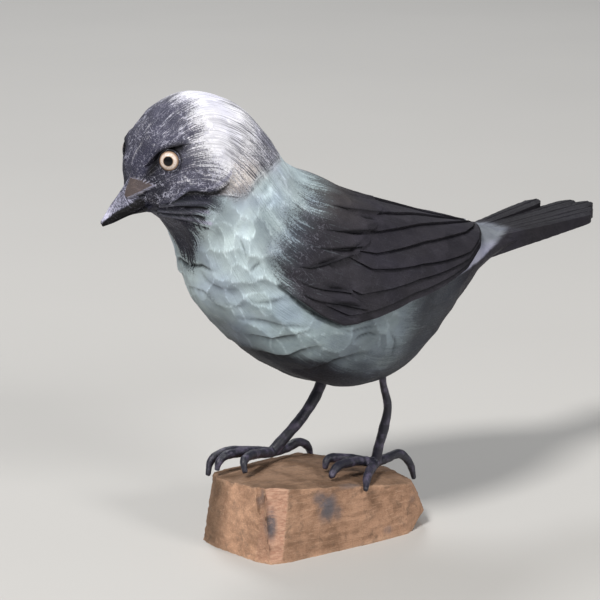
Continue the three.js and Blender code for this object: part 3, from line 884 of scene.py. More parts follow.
def feather_edges():
    """The lower edges of the shoulder's and wing's feathers, as lines on the skin."""
    lines = [skin_line(on_line(lower, np.linspace(0.4, 1, 12))) for _, _, lower in SHOULDER[1:]]
    section = np.linspace(11.9, 16.2, 24)
    for k in range(1, len(STRIP_BORDERS) - 1):
        degrees = mix(WING_TOP, height_on(WING_EDGE, section), strip_border(k, section))
        lines.append(skin(section, degrees + 0.6))
    return lines


def tail_feather(root_y, end_x, end_y, root_width, end_width, end_top):
    """One tail feather with a round end, a groove for its shaft and knife cuts."""
    rows, columns = TAIL_GRID
    s, t = np.meshgrid(1 - np.linspace(1, 0, rows) ** 1.6, np.linspace(-1, 1, columns), indexing="ij")
    taper = np.where(s < 0.9, 1, np.sqrt(np.clip(1 - ((s - 0.9) / 0.115) ** 2, 0, 1)))
    width = mix(root_width, end_width, np.minimum(s * 1.3, 1)) * taper
    x = mix(TAIL_ROOT_X, end_x, s)
    y = mix(root_y, end_y, s) + t * width / 2
    cut = 0.25 * np.sin(x * 0.7 + root_y) * np.sin(t * 2.2 + x * 0.11) ** 2
    shaft = 0.5 * np.clip(1 - np.abs(t) / 0.13, 0, 1) * smooth(s, 0.2, 0.4)
    top = mix(TAIL_ROOT_Z, end_top, s) + (1 - t * t) * 0.5 - np.abs(cut) - shaft
    under = top - mix(TAIL_ROOT_THICK, TAIL_END_THICK, s) + 0.3 * np.abs(cut)
    return slab(np.stack([x, y, top], -1), np.stack([x, y, under], -1))


def tube(points, radii, lumps=0.0):
    """A round bar along a smooth curve, with a handmade unevenness."""
    points = np.asarray(points, float)
    length = np.linalg.norm(np.diff(points, axis=0), axis=1).sum()
    at = np.linspace(0, len(points) - 1, int(length / TUBE_STEP))
    path = between(points, at)
    radius = np.interp(at / (len(points) - 1), np.linspace(0, 1, len(radii)), radii)
    radius = radius * (1 + lumps * (np.sin(at * 5.1 + points[0, 0]) + 0.6 * np.sin(at * 11.7 + points[0, 1])))
    ahead = unit(np.gradient(path, axis=0))
    across = unit(np.cross(ahead[0], [0.3, 0.9, 0.2]))
    turns = np.linspace(0, 2 * math.pi, TUBE_SIDES, endpoint=False)
    rings = []
    for centre, direction, r in zip(path, ahead, radius):
        across = unit(across - direction * (across @ direction))
        up = np.cross(direction, across)
        rings.append([centre + r * (math.cos(k) * across + math.sin(k) * up) for k in turns])
    return loft(rings)


# The block


def hull(corners):
    """The convex body round some corners."""
    shell = bmesh.new()
    for corner in corners:
        shell.verts.new(Vector(corner))
    bmesh.ops.convex_hull(shell, input=shell.verts)
    shell.verts.ensure_lookup_table()
    shell.verts.index_update()
    points = [vertex.co[:] for vertex in shell.verts]
    faces = [tuple(vertex.index for vertex in face.verts) for face in shell.faces]
    shell.free()
    return solid(points, faces)


def chip(corners, way):
    """The wood that a chip takes away."""
    inner = np.array(corners, float)
    return loft([inner, inner + unit(np.array(way, float)) * CHIP_REACH])


def inside(points, corners):
    """How far inside a flat outline each point is, and how far off its plane, in millimetres."""
    corners = np.asarray(corners, float)
    middle, out = plane(corners)
    depth = np.full(len(points), FAR_OFF)
    for a, b in zip(corners, np.roll(corners, -1, axis=0)):
        inward = unit(np.cross(out, b - a))
        inward = inward if (middle - a) @ inward > 0 else -inward
        depth = np.minimum(depth, (points - a) @ inward)
    return depth, np.abs((points - middle) @ out)


def wander(points, scale, seed):
    """Smooth noise from -1 to 1 at each point."""
    moved = points * scale + seed
    return np.array([noise.noise(Vector(point)) for point in moved])


def roughen(block, depth):
    """Presses a rough-sawn surface into the block, but leaves its underside flat."""
    mesh = block.data
    points = vertex_points(mesh)
    normals = vertex_normals(mesh)
    fibres = wander(points, np.array([0.09, 0.55, 0.6]), 3.1)
    dents = wander(points, np.array([0.11, 0.13, 0.16]), 9.7)
    grit = wander(points, np.array([0.7, 1.1, 0.9]), 21.3)
    inward = depth * (0.45 + 0.5 * fibres + 0.75 * np.abs(dents) + 0.25 * grit)
    inward = np.clip(inward, 0, 2 * depth) * smooth(points[:, 2], 0.2, 1.6)
    points -= normals * inward[:, None]
    points[:, 2] = np.where(points[:, 2] < 0.4, 0, points[:, 2])
    mesh.vertices.foreach_set("co", (points * MM).ravel())
    mesh.update()


# Marks on the block: place, reach, strength
STAINS = [
    ((-10, -28.3, 20), (7, 7, 9), 1), ((-13.5, -28, 24.5), (5, 7, 4), 0.8),
    ((-5, -29, 17), (4, 7, 5), 0.55), ((20.4, -32.5, 4), (3.5, 6, 2.5), 0.5),
    ((-35.4, -27, 17), (3.2, 6, 10.5), 1), ((35, -31.9, 14), (3, 5, 3), 0.3),
    ((-37.4, -22, 27), (2.5, 3, 6), 0.6), ((6, -29, 26.5), (16, 4, 1.6), 0.5),
]


def marked_values(block):
    """Stores on the block its splits, stains, weathering, hollows, sharp edges and painted light and shade.
    """
    points = vertex_points(block.data)
    fresh = np.zeros(len(points))
    for corners, _, share in CHIPS:
        depth, off = inside(points, corners)
        fresh = np.maximum(fresh, share * smooth(depth, -0.4, 0.3) * (1 - smooth(off, 0.6, 1.3)))
    stain = np.zeros(len(points))
    for place, reach, strength in STAINS:
        away = np.linalg.norm((points - place) / reach, axis=1)
        stain = np.maximum(stain, strength * (1 - smooth(away, 0.35, 1)))
    bend = creases(block.data)
    normals = vertex_normals(block.data)
    # Painted shade on the far end at the left, and darker weathering on top
    shaded_far_end = smooth(points[:, 1], -6, 6) * (points[:, 0] < -33)
    weathered_top_and_shaded_end = np.maximum(smooth(normals[:, 2], 0.5, 0.9), shaded_far_end)
    lay_on(block.data, "weathered_top_and_shaded_end", weathered_top_and_shaded_end)
    # Painted light: faces turned towards -X are lighter
    lay_on(block.data, "pale", smooth(-normals[:, 0], 0.45, 0.85) * (1 - weathered_top_and_shaded_end))
    lay_on(block.data, "fresh", fresh)
    lay_on(block.data, "stain", stain)
    # Painted shade in the hollows
    lay_on(block.data, "hollow", np.clip(bend * 3.5 - 0.15, 0, 1))
    # Lighter sharp edges: rubbed wood and painted highlight
    lay_on(block.data, "wear_and_highlight", np.clip(-bend * 3 - 0.1, 0, 1))


# Light lines along the edges of the face's cuts, as (section, degrees)
FACE_MARKS = [
    [(3.4, 20), (3.25, 33.5), (2.95, 38.5), (2.65, 38), (2.3, 40.5)],
    [(3.4, 20), (3.85, 20.5), (4.05, 24)],
    [(4.05, 24), (3.8, 41), (3.85, 53.5), (4, 61.5)],
    [(3.15, 2.5), (2.85, 3), (2.4, 16.5), (2.45, 34.5)],
    [(2.1, 5.5), (1.6, -1.5), (1.05, -1)],
    [(4.2, 2.5), (4.15, 15.5), (4.05, 24)],
    [(3.4, 90.5), (3.8, 100), (4.45, 102.5)],
    [(4, 87.5), (4.45, 92.5), (4.85, 89)],
    [(5.05, 96.5), (5.45, 89), (5.65, 81.5)],
]
# Pale double line at the corner of the mouth, in the part's frame
GAPE_LINES = [
    [(-80.6, -8.2, 148.6), (-78.6, -10.2, 151), (-77.2, -13.8, 153.8)],
    [(-79.6, -9.4, 148.2), (-77.4, -11.4, 150.6), (-76.2, -14.2, 153)],
]

# Where the hood's silver starts and thins out, and where the breast's pale paint, the rump's dark end
# and the black of the wings start, as (degrees, section)
CROWN_FRONT = [(0, 4.55), (14, 4.57), (30, 4.48), (54, 4.35), (70, 4), (82, 3.95), (95, 4.25)]
CROWN_REAR = [(0, 7.3), (31, 7), (45, 6.75), (55, 6.5), (70, 6.3), (90, 5.9)]
THROAT_START = [(100, 5), (112, 4.85), (126, 4.35), (142, 4.45), (160, 5.1), (172, 5.9), (180, 6.1)]
RUMP_EDGE = [
    (0, 18.8), (20, 18.5), (30.5, 18.1), (40, 17.8), (52.5, 17.4), (61.5, 17.1), (67, 16.75),
    (71.5, 16.3), (75, 15.2), (80, 14),
]
CLOAK_EDGE = [
    (0, 10.1), (30, 10), (41, 9.75), (62, 9.3), (75, 9.1), (85, 9), (95.5, 9.05), (102, 9.35),
    (105.5, 9.6),
]

# Where the cheek ends, where the belly's dark paint and painted shade end, the brow's shadow, the broken
# painted shadow line at the hood's back and the start of the one below the wing, as (section, degrees)
CHEEK_RIM = [*CHEEK_EDGE[:8], (5.62, 84), (5.8, 74), (6.2, 66), (8.6, 60)]
BELLY_SHADE = [(10.3, 170), (11, 157), (11.5, 145), (12.1, 138), (12.8, 139), (13.6, 139), (14.3, 128)]
BROW_SHADOW = [(1.45, 57), (1.6, 54), (1.85, 51), (2.35, 50.5), (2.7, 52.5), (3.1, 56.5), (3.5, 61)]
NAPE_LINE = [(6.9, 81), (7.3, 68), (7.75, 50.5), (8.2, 36)]
WING_FRONT = (9.25, 105.5)


def stroke_share(points, lines, width):
    """1 on the lines, fading to 0 at twice their width."""
    near = np.full(len(points), FAR_OFF)
    for line in lines:
        line = np.asarray(line, float)
        for a, b in zip(line[:-1], line[1:]):
            share = np.clip((points - a) @ (b - a) / ((b - a) ** 2).sum(), 0, 1)
            near = np.minimum(near, np.linalg.norm(points - a - share[:, None] * (b - a), axis=1))
    return 1 - smooth(near, 0, width * 2)


# Where each point of the finished bird lies on the skin


class Chart:
    """Finds the place on the skin below any point."""

    def __init__(self):
        rows, columns = CHART_GRID
        sections, degrees = np.linspace(0, LAST_SECTION, rows), np.linspace(-180, 180, columns)
        self.section, self.degrees = np.meshgrid(sections, degrees, indexing="ij")
        self.points = skin(self.section, self.degrees)
        index = np.arange(rows * columns).reshape(rows, columns)
        quads = np.stack([index[:-1, :-1], index[:-1, 1:], index[1:, 1:], index[1:, :-1]], -1).reshape(-1, 4)
        self.quads = quads
        self.tree = BVHTree.FromPolygons(self.points.reshape(-1, 3).tolist(), quads.tolist())

    def places(self, points):
        """Section, degrees and height above the skin for each point."""
        near = [self.tree.find_nearest(Vector(point)) for point in points]
        spot = np.array([hit[0][:] for hit in near])
        quad = self.quads[[hit[2] for hit in near]]
        flat = self.points.reshape(-1, 3)
        section, degrees = self.section.ravel(), self.degrees.ravel()
        a, b, d = flat[quad[:, 0]], flat[quad[:, 1]], flat[quad[:, 3]]

        def share(end):
            along = end - a
            return np.clip(((spot - a) * along).sum(1) / np.maximum((along**2).sum(1), 1e-9), 0, 1)

        section = mix(section[quad[:, 0]], section[quad[:, 3]], share(d))
        degrees = mix(degrees[quad[:, 0]], degrees[quad[:, 1]], share(b))
        lift = ((points - spot) * outward(section, degrees)).sum(1)
        return section, degrees, lift


# Paint


def linear(red, green, blue):
    """A display colour, 0 to 255, as linear light."""
    shares = (channel / 255 for channel in (red, green, blue))
    return tuple(c / 12.92 if c <= 0.04045 else ((c + 0.055) / 1.055) ** 2.4 for c in shares)


def over(base, top, share):
    """One colour laid over others by a share at each point."""
    return base + (np.asarray(top) - base) * np.asarray(share)[:, None]


def blob(section, degrees, place, reach):
    """1 at a place on the skin, fading to 0 at its reach in sections and degrees."""
    away = np.hypot((section - place[0]) / reach[0], (degrees - place[1]) / reach[1])
    return 1 - smooth(away, 0, 1)


def all_over(shade, count):
    """The same colour at every point."""
    return np.tile(tuple(shade), (count, 1))


def hood_paint(paints, section, degrees, wavy):
    """The hood's undercoat and the share of silver over it: dark face with painted shade, silver crown, pale
    patch behind.
    """
    angle, count = np.abs(degrees), len(section)
    silver = smooth(section - height_on(CROWN_FRONT, angle) + 1.2 * wavy, -0.6, 0.6)
    silver = silver * mix(1, 0.42, smooth(section - height_on(CROWN_REAR, angle), -0.5, 0.9))
    rear = smooth(section, 4.2, 5.3)
    silver = silver * (1 - smooth(angle, mix(46, 74, rear), mix(104, 113, rear)))
    silver = np.maximum(silver, 0.07 * smooth(section, 1.5, 3.5))
    silver = np.maximum(silver, 0.2 * blob(section, angle, (4.9, 88), (1.2, 16)))

    # Darker below the brow at the front of the face: the face's dark paint and painted shade of the eye
    # socket
    face_dark_and_socket_shade = (1 - smooth(section, 1.5, 3.1)) * smooth(angle, 42, 62)
    under = over(all_over(paints.slate, count), paints.soot, 0.8 * face_dark_and_socket_shade)
    under = over(under, paints.nape, smooth(section + wavy, 5.2, 6.6))
    past_rim = (angle - height_on(CHEEK_RIM, section)) / mix(1, 11, smooth(section, 5.2, 5.9))
    behind_cheek = smooth(past_rim, -1, 1)
    dun = over(all_over(paints.soot, count), paints.dun, smooth(section, 5, 6.1))
    dun = over(dun, paints.fog, smooth(section, 6.8, 7.8))
    under = over(under, dun, behind_cheek)
    silver = silver * (1 - 0.45 * behind_cheek)

    shadow = stroke_share(skin(section, angle), [skin_line(BROW_SHADOW)], 1.9)
    marks = stroke_share(skin(section, degrees), [skin_line(line) for line in FACE_MARKS], 0.28)
    return over(under, paints.pitch, shadow), np.maximum(silver, 0.38 * marks) * (1 - shadow)


def front_paint(paints, section, angle, wavy):
    """The throat's, breast's and belly's undercoat and topcoat, the topcoat's share, and painted shade below.
    """
    count = len(section)
    top = over(all_over(paints.sage, count), paints.fog, 0.6 * smooth(100 - angle, 0, 30))
    neck = mix(0.3, 0.75, smooth(angle, 50, 70)) * smooth(section, 6.8, 7.8)
    top = over(top, paints.mist, neck * (1 - smooth(angle, 84, 104)))
    before_wing = smooth(section, 7.3, 8.6) * smooth(angle, 74, 88) * (1 - smooth(angle, 99, 107))
    top = over(top, paints.dusk, 0.5 * before_wing)
    top = over(top, paints.mist, 0.8 * smooth(section + wavy, 7.8, 10.2))
    # Painted shade: darker towards the underside of the breast
    top = over(top, paints.dusk, 0.72 * smooth(angle, 142, 168) * smooth(section, 7.5, 9.5))
    top = over(top, paints.dusk, 0.62 * smooth(section, 10.7, 12.6))

    breast = smooth(section + wavy * 0.6 - height_on(THROAT_START, angle), -0.35, 1.15)
    # Below BELLY_SHADE and at the lower rear the dark undercoat shows: the belly's dark paint and painted
    # shade
    belly = 1 - smooth(angle - height_on(BELLY_SHADE, section), -6, 5) * smooth(section, 9.7, 10.8)
    belly = belly * (1 - smooth(section + (105 - angle) / 50, 12.9, 14.1))
    belly = belly * (1 - 0.45 * smooth(section, 12.3, 13.2) * smooth(angle, 112, 124))
    under = over(all_over(paints.soot, count), paints.slate, 0.4 * (1 - smooth(section, 5.2, 7)))
    under = over(under, paints.dusk, 0.5 * smooth(section, 12.6, 14))
    return under, top, np.minimum(breast, 0.06 + 0.94 * belly)


def layer_lines(paints, section, angle, under, top, share):
    """Adds a painted highlight along the edge of each layer of cheek and throat, and a painted shadow below.
    """
    for line in [CHEEK_EDGE[1:9]] + [line[:-1] for line, _ in THROAT]:
        # lit is a painted highlight above each edge, dark a painted shadow below it
        lit, dark = (stroke_share(skin(section, angle), [skin_line(np.array(line) + [0, off])], wide)
                     for off, wide in ((-4, 0.7), (3, 0.6)))
        under, share = over(under, paints.pitch, dark), share * (1 - dark)
        share = np.maximum(share, 0.22 * lit * (1 - dark))
        top = over(top, paints.silver_shade, lit)
    return under, top, share


def wing_paint(paints, section, angle, wavy, under, share):
    """Adds the black of the wings and the back, brownish between the shoulders."""
    cloak = smooth(section - height_on(CLOAK_EDGE, angle) + wavy, -1.1, 0.6)
    on_wing = in_wing(section, angle) | ((section > 8.2) & (section < 9.4) & (angle < 106))
    brownish = (1 - smooth(section, 10.4, 12)) * (1 - smooth(angle, 30, 72))
    black = over(all_over(paints.coal, len(section)), paints.smoke, brownish)
    under = over(under, black, np.where(on_wing, smooth(section, 8.3, 8.8), 0))
    return under, np.where(on_wing, share * (1 - cloak), share)


def tail_paint(paints, section, angle, x, under, top, share):
    """Adds the pale rump, with painted light on its lower part, and the black tail."""
    behind = (section > 14.3) & ~in_wing(section, angle)
    under = over(under, paints.coal, np.where(behind, smooth(section, 14.8, 15.6), 0))
    rump = 1 - smooth(section - height_on(RUMP_EDGE, angle), -0.7, 0.3)
    # Painted light: the rump's lower, down-facing part gets more silver
    pale = over(all_over(paints.rump, len(section)), paints.silver_shade, 0.7 * smooth(angle, 40, 66))
    top = over(top, pale, np.where(behind, smooth(section, 14.5, 15), 0))
    share = np.where(behind, mix(share, rump, smooth(section, 14.5, 15)), share)
    tail = smooth(x, 102, 111)
    return over(under, paints.pitch, 0.55 * tail), top, share * (1 - tail)


def bill_paint(paints, lift, points, under, top, share):
    """Adds the bill with its lower band in black painted shade, the plate at its base and the lines of the
    gape.
    """
    x, z = points[:, 0], points[:, 2]
    rows = np.array(BEAK)
    on_bill = (x < -79.3) & (lift > 0.4) & (z < 166)
    under = np.where(on_bill[:, None], paints.horn, under)
    near = mirrored(points)
    depth, off = inside(near, NASAL)
    depth = np.where((off < 1.2) & (points[:, 1] < 2), depth, -FAR_OFF)
    # Painted shade on the band tucked in below the bill's crisp edge
    band_top = np.interp(x, rows[:, 0], rows[:, 2]) + np.interp(x, [-96, -88, -79], [0, 1.5, 2])
    band = on_bill * (1 - smooth(z - band_top, -0.3, 0.3)) * (depth < -0.2)
    under = over(under, paints.pitch, band)
    under = over(under, paints.umber, smooth(depth, -0.15, 0.1))

    outline = smooth(depth, -0.3, -0.05) * (1 - smooth(depth, 0.05, 0.3))
    top = over(top, paints.silver_shade, on_bill | (outline > 0.01))
    # More silver towards the tip: dry-brushed paint and painted highlight
    brushed = 0.35 + 0.13 * smooth(-x, 82, 90) + 0.42 * smooth(-x, 91, 94.5)
    share = np.where(on_bill, brushed * (1 - band), share)
    share = np.where(depth > -0.3, 0.75 * outline, share)
    gape = stroke_share(near, GAPE_LINES, 0.22)
    return under, over(top, paints.silver_shade, gape), np.maximum(share, 0.35 * gape)


def bird_paint(paints, section, degrees, lift, points):
    """The undercoat and topcoat at each point, and how much of the topcoat is brushed on."""
    angle = np.abs(degrees)
    wavy = 0.1 * np.sin(degrees * 0.21) + 0.08 * np.sin(degrees * 0.53 + 1.3)
    hood_under, silver = hood_paint(paints, section, degrees, wavy)
    front_under, front, pale = front_paint(paints, section, angle, wavy)

    fade = mix(1.2, 8, smooth(section, 5.1, 6.2))
    outside = smooth((angle - height_on(HOOD_EDGE, section)) / fade, -1, 1)
    under = over(hood_under, front_under, outside)
    top = over(all_over(paints.silver, len(section)), front, outside)
    share = mix(silver, pale, outside)
    hood_foot = smooth(section, 6.2, 7) * (1 - smooth(section, 8.6, 9)) * (angle < 100)
    under = over(under, paints.fog, 0.8 * outside * hood_foot)

    under, top, share = layer_lines(paints, section, angle, under, top, share)
    under, share = wing_paint(paints, section, angle, wavy, under, share)
    under, top, share = tail_paint(paints, section, angle, points[:, 0], under, top, share)
    under, top, share = bill_paint(paints, lift, points, under, top, share)
    for side in (LEFT, RIGHT):
        away = np.linalg.norm(points - eye_centre(side), axis=1)
        lid = 0.9 * (1 - smooth(away, 4.75, 5.3))
        under, share = over(under, paints.pitch, lid), share * (1 - lid)
    return under, top, share


CREASE_SPREADS = 2


def creases(mesh):
    """How hollow (above 0) or how sharp (below 0) the surface is at each vertex, evened out a little."""
    count = len(mesh.vertices)
    points, normals = vertex_points(mesh), vertex_normals(mesh)
    ends = np.empty(len(mesh.edges) * 2, int)
    mesh.edges.foreach_get("vertices", ends)
    a, b = ends.reshape(-1, 2).T
    along = unit(points[b] - points[a])
    bend = np.zeros(count)
    share = np.maximum(np.bincount(ends, minlength=count), 1)
    np.add.at(bend, a, (along * normals[a]).sum(1))
    np.add.at(bend, b, -(along * normals[b]).sum(1))
    bend /= share
    for _ in range(CREASE_SPREADS):
        spread = np.bincount(a, bend[b], count) + np.bincount(b, bend[a], count)
        bend = 0.5 * bend + 0.5 * spread / share
    return bend


# Materials


class Finish:
    """A procedural material, with short ways to add its nodes."""

    def __init__(self, name, **shader):
        self.material = bpy.data.materials.new(name)
        self.material.use_nodes = True
        self.tree = self.material.node_tree
        self.tree.nodes.clear()
        self.shader = self.add("ShaderNodeBsdfPrincipled")
        output = self.add("ShaderNodeOutputMaterial")
        self.tree.links.new(self.shader.outputs["BSDF"], output.inputs["Surface"])
        for socket, value in shader.items():
            self.feed(self.shader.inputs[socket.replace("_", " ")], value)

    def add(self, kind, **settings):
        node = self.tree.nodes.new(kind)
        for name, value in settings.items():
            setattr(node, name, value)
        return node

    def feed(self, socket, value):
        if isinstance(value, bpy.types.NodeSocket):
            self.tree.links.new(value, socket)
        elif socket.type == "RGBA":
            socket.default_value = (*value, 1)[:4]
        else:
            socket.default_value = value

    def laid(self, name, output="Vector"):
        """A colour or a direction that was laid on the mesh."""
        return self.add("ShaderNodeAttribute", attribute_name=name).outputs[output]

    def amount(self, name):
        """A number that was laid on the mesh."""
        return self.laid(name, "Fac")

    def place(self):
        """Millimetres in the part's frame."""
        return self.stretch(self.add("ShaderNodeTexCoord").outputs["Object"], 1 / MM, 1 / MM, 1 / MM)

    def stretch(self, vector, x, y, z):
        node = self.add("ShaderNodeVectorMath", operation="MULTIPLY")
        self.feed(node.inputs[0], vector)
        node.inputs[1].default_value = (x, y, z)
        return node.outputs[0]

    def noise(self, vector, scale, detail, rough, twist=0):
        node = self.add("ShaderNodeTexNoise")
        self.feed(node.inputs["Vector"], vector)
        settings = {"Scale": scale, "Detail": detail, "Roughness": rough, "Distortion": twist}
        for name, value in settings.items():
            node.inputs[name].default_value = value
        return node.outputs["Fac"]

    def step(self, value, low, high, start=0.0, end=1.0):
        node = self.add("ShaderNodeMapRange", interpolation_type="SMOOTHSTEP")
        for name, number in {"From Min": low, "From Max": high, "To Min": start, "To Max": end}.items():
            self.feed(node.inputs[name], number)
        self.feed(node.inputs["Value"], value)
        return node.outputs["Result"]

    def math(self, operation, a, b):
        node = self.add("ShaderNodeMath", operation=operation)
        self.feed(node.inputs[0], a)
        self.feed(node.inputs[1], b)
        return node.outputs[0]

    def product(self, a, b):
        return self.math("MULTIPLY", a, b)

    def total(self, a, b):
        return self.math("ADD", a, b)

    def larger(self, a, b):
        return self.math("MAXIMUM", a, b)

    def layer(self, share, base, top, mode="MIX"):
        node = self.add("ShaderNodeMix", data_type="RGBA", blend_type=mode)
        self.feed(node.inputs["Factor"], share)
        self.feed(node.inputs[6], base)  # the colour sockets named A, B and Result
        self.feed(node.inputs[7], top)
        return node.outputs[2]

    def tinted(self, colour, shade):
        """The colour multiplied by a shade."""
        return self.layer(1.0, colour, shade, "MULTIPLY")

    def blend(self, share, a, b):
        node = self.add("ShaderNodeMix", data_type="FLOAT")
        for socket, value in ((0, share), (2, a), (3, b)):  # the number sockets Factor, A and B
            self.feed(node.inputs[socket], value)
        return node.outputs[0]

    def bump(self, height, strength, distance):
        node = self.add("ShaderNodeBump")
        node.inputs["Strength"].default_value = strength
        node.inputs["Distance"].default_value = distance * MM
        self.feed(node.inputs["Height"], height)
        return node.outputs["Normal"]

    def dashes(self, vector, turn, long, wide):
        """Short straight scratches that lie one way."""
        node = self.add("ShaderNodeMapping", vector_type="TEXTURE")
        self.feed(node.inputs["Vector"], vector)
        node.inputs["Rotation"].default_value = turn
        node.inputs["Scale"].default_value = (long, wide, wide)
        return self.step(self.noise(node.outputs["Vector"], 1, 1, 0.5), 0.65, 0.69)

    def crackle(self, vector, size, width, bend):
        """Thin lines round cells of about one size."""
        sway = self.add("ShaderNodeTexNoise")
        self.feed(sway.inputs["Vector"], vector)
        sway.inputs["Scale"].default_value = 0.35
        moved = self.add("ShaderNodeVectorMath", operation="ADD")
        self.feed(moved.inputs[0], self.stretch(sway.outputs["Color"], bend, bend, bend))
        self.feed(moved.inputs[1], vector)
        node = self.add("ShaderNodeTexVoronoi", feature="DISTANCE_TO_EDGE")
        self.feed(node.inputs["Vector"], moved.outputs[0])
        node.inputs["Scale"].default_value = 1 / size
        return self.step(node.outputs["Distance"], width / size, 0)


# Fixed shades of the finishes, as linear light
SCRATCHED = (0.47, 0.47, 0.57)
PEPPERED = (0.02, 0.02, 0.026)
CREVICE_SHADE = (0.006, 0.006, 0.008)
OLD_DIRT = (0.12, 0.085, 0.062)
SAW_DIRT = (0.13, 0.09, 0.065)
STAINED = (0.115, 0.11, 0.125)
WOOD_CREVICE_SHADE = (0.03, 0.016, 0.01)
SPLIT_FIBRE = (0.56, 0.34, 0.24)
CORNER_WEAR_AND_HIGHLIGHT = (0.62, 0.43, 0.3)
WIRE_SPECKS = (0.14, 0.13, 0.2)
PUPIL = (0.003, 0.003, 0.004)
IRIS_INNER_LINE = (0.34, 0.2, 0.11)
IRIS_OUTER_LINE = (0.34, 0.22, 0.15)
EYE_RIM = (0.004, 0.004, 0.005)


def brushed_coat(paint, streaks, hairs, grit):
    """The topcoat over the undercoat, uneven in streaks and specks."""
    brushed = paint.amount("brushed")
    thin = paint.total(paint.product(streaks, 0.25), paint.product(hairs, 0.45))
    thin = paint.step(paint.total(thin, paint.product(grit, 0.3)), 0.4, 0.6)
    flecked = paint.step(paint.math("SUBTRACT", paint.product(brushed, 1.25), thin), -0.1, 0.3)
    cover = paint.blend(paint.amount("soft"), flecked, brushed)
    return paint.layer(cover, paint.laid("undercoat"), paint.laid("topcoat"))


def scratches(paint, here, cloud, grit):
    """Where fine scratches every way, cracks and specks show."""
    marks = paint.dashes(here, (0.3, 0.5, 0.4), 6, 0.42)
    marks = paint.larger(marks, paint.dashes(here, (1.1, -0.3, 1.3), 5, 0.38))
    marks = paint.larger(marks, paint.dashes(here, (-0.6, 0.9, -0.8), 7, 0.42))
    marks = paint.product(marks, paint.step(cloud, 0.42, 0.62, 0.22, 1))
    cracks = paint.larger(paint.crackle(here, 5.5, 0.26, 5), paint.crackle(here, 3.4, 0.2, 4))
    cracks = paint.product(cracks, paint.step(paint.noise(here, 0.22, 3, 0.65), 0.54, 0.6))
    specks = paint.product(paint.step(grit, 0.64, 0.7), 0.16)
    return paint.product(paint.larger(paint.larger(marks, cracks), specks), paint.amount("scratchy"))


def bird_finish():
    """Dry-brushed paint over knife-cut wood, in the colours and shares that painted_values stores."""
    paint = Finish("painted_wood")
    flow = paint.laid("flow")
    here = paint.place()
    streaks = paint.noise(paint.stretch(flow, 0.09, 0.8, 0.8), 1, 3, 0.6)
    hairs = paint.noise(paint.stretch(flow, 0.07, 2.0, 2.0), 1, 2, 0.55)
    grit = paint.noise(here, 1.5, 3, 0.7)
    cloud = paint.noise(here, 0.1, 3, 0.6)
    tinge = paint.noise(here, 0.055, 2, 0.5)

    coat = brushed_coat(paint, streaks, hairs, grit)
    tone = paint.layer(paint.step(cloud, 0.3, 0.7), (0.84, 0.84, 0.86), (1.12, 1.11, 1.1))
    coat = paint.tinted(coat, tone)
    coat = paint.layer(paint.step(tinge, 0.42, 0.7, 0, 0.3), coat, paint.tinted(coat, (0.9, 0.9, 1.2)))
    lines = paint.product(paint.step(hairs, 0.51, 0.41), paint.amount("hairy"))
    coat = paint.layer(lines, coat, paint.tinted(coat, (0.16, 0.16, 0.18)))
    # Lighter along ridges and sharp edges: dry-brushed paint and painted highlight
    patchy = paint.step(paint.noise(here, 0.35, 2, 0.6), 0.4, 0.56, 0.15, 1)
    wear_and_highlight = paint.product(paint.amount("ridge"), patchy)
    coat = paint.layer(wear_and_highlight, coat, paint.tinted(coat, (1.62, 1.58, 1.57)))
    coat = paint.layer(paint.product(scratches(paint, here, cloud, grit), 0.7), coat, SCRATCHED)
    pepper = paint.step(paint.noise(here, 1.9, 3, 0.65), 0.5, 0.62)
    pepper = paint.product(pepper, paint.amount("peppered"))
    coat = paint.layer(paint.product(pepper, 0.7), coat, PEPPERED)
    # Painted shade in the hollows and along the painted shadow lines
    coat = paint.layer(paint.product(paint.amount("hollow"), 0.85), coat, CREVICE_SHADE)
    paint.feed(paint.shader.inputs["Base Color"], coat)

    paint.feed(paint.shader.inputs["Roughness"], paint.step(grit, 0.35, 0.7, 0.5, 0.7))
    paint.shader.inputs["Specular IOR Level"].default_value = 0.16
    height = paint.total(paint.product(hairs, 0.6), paint.product(grit, 0.5))
    height = paint.total(height, paint.product(streaks, 0.5))
    paint.feed(paint.shader.inputs["Normal"], paint.bump(height, 0.7, 0.5))
    return paint.material


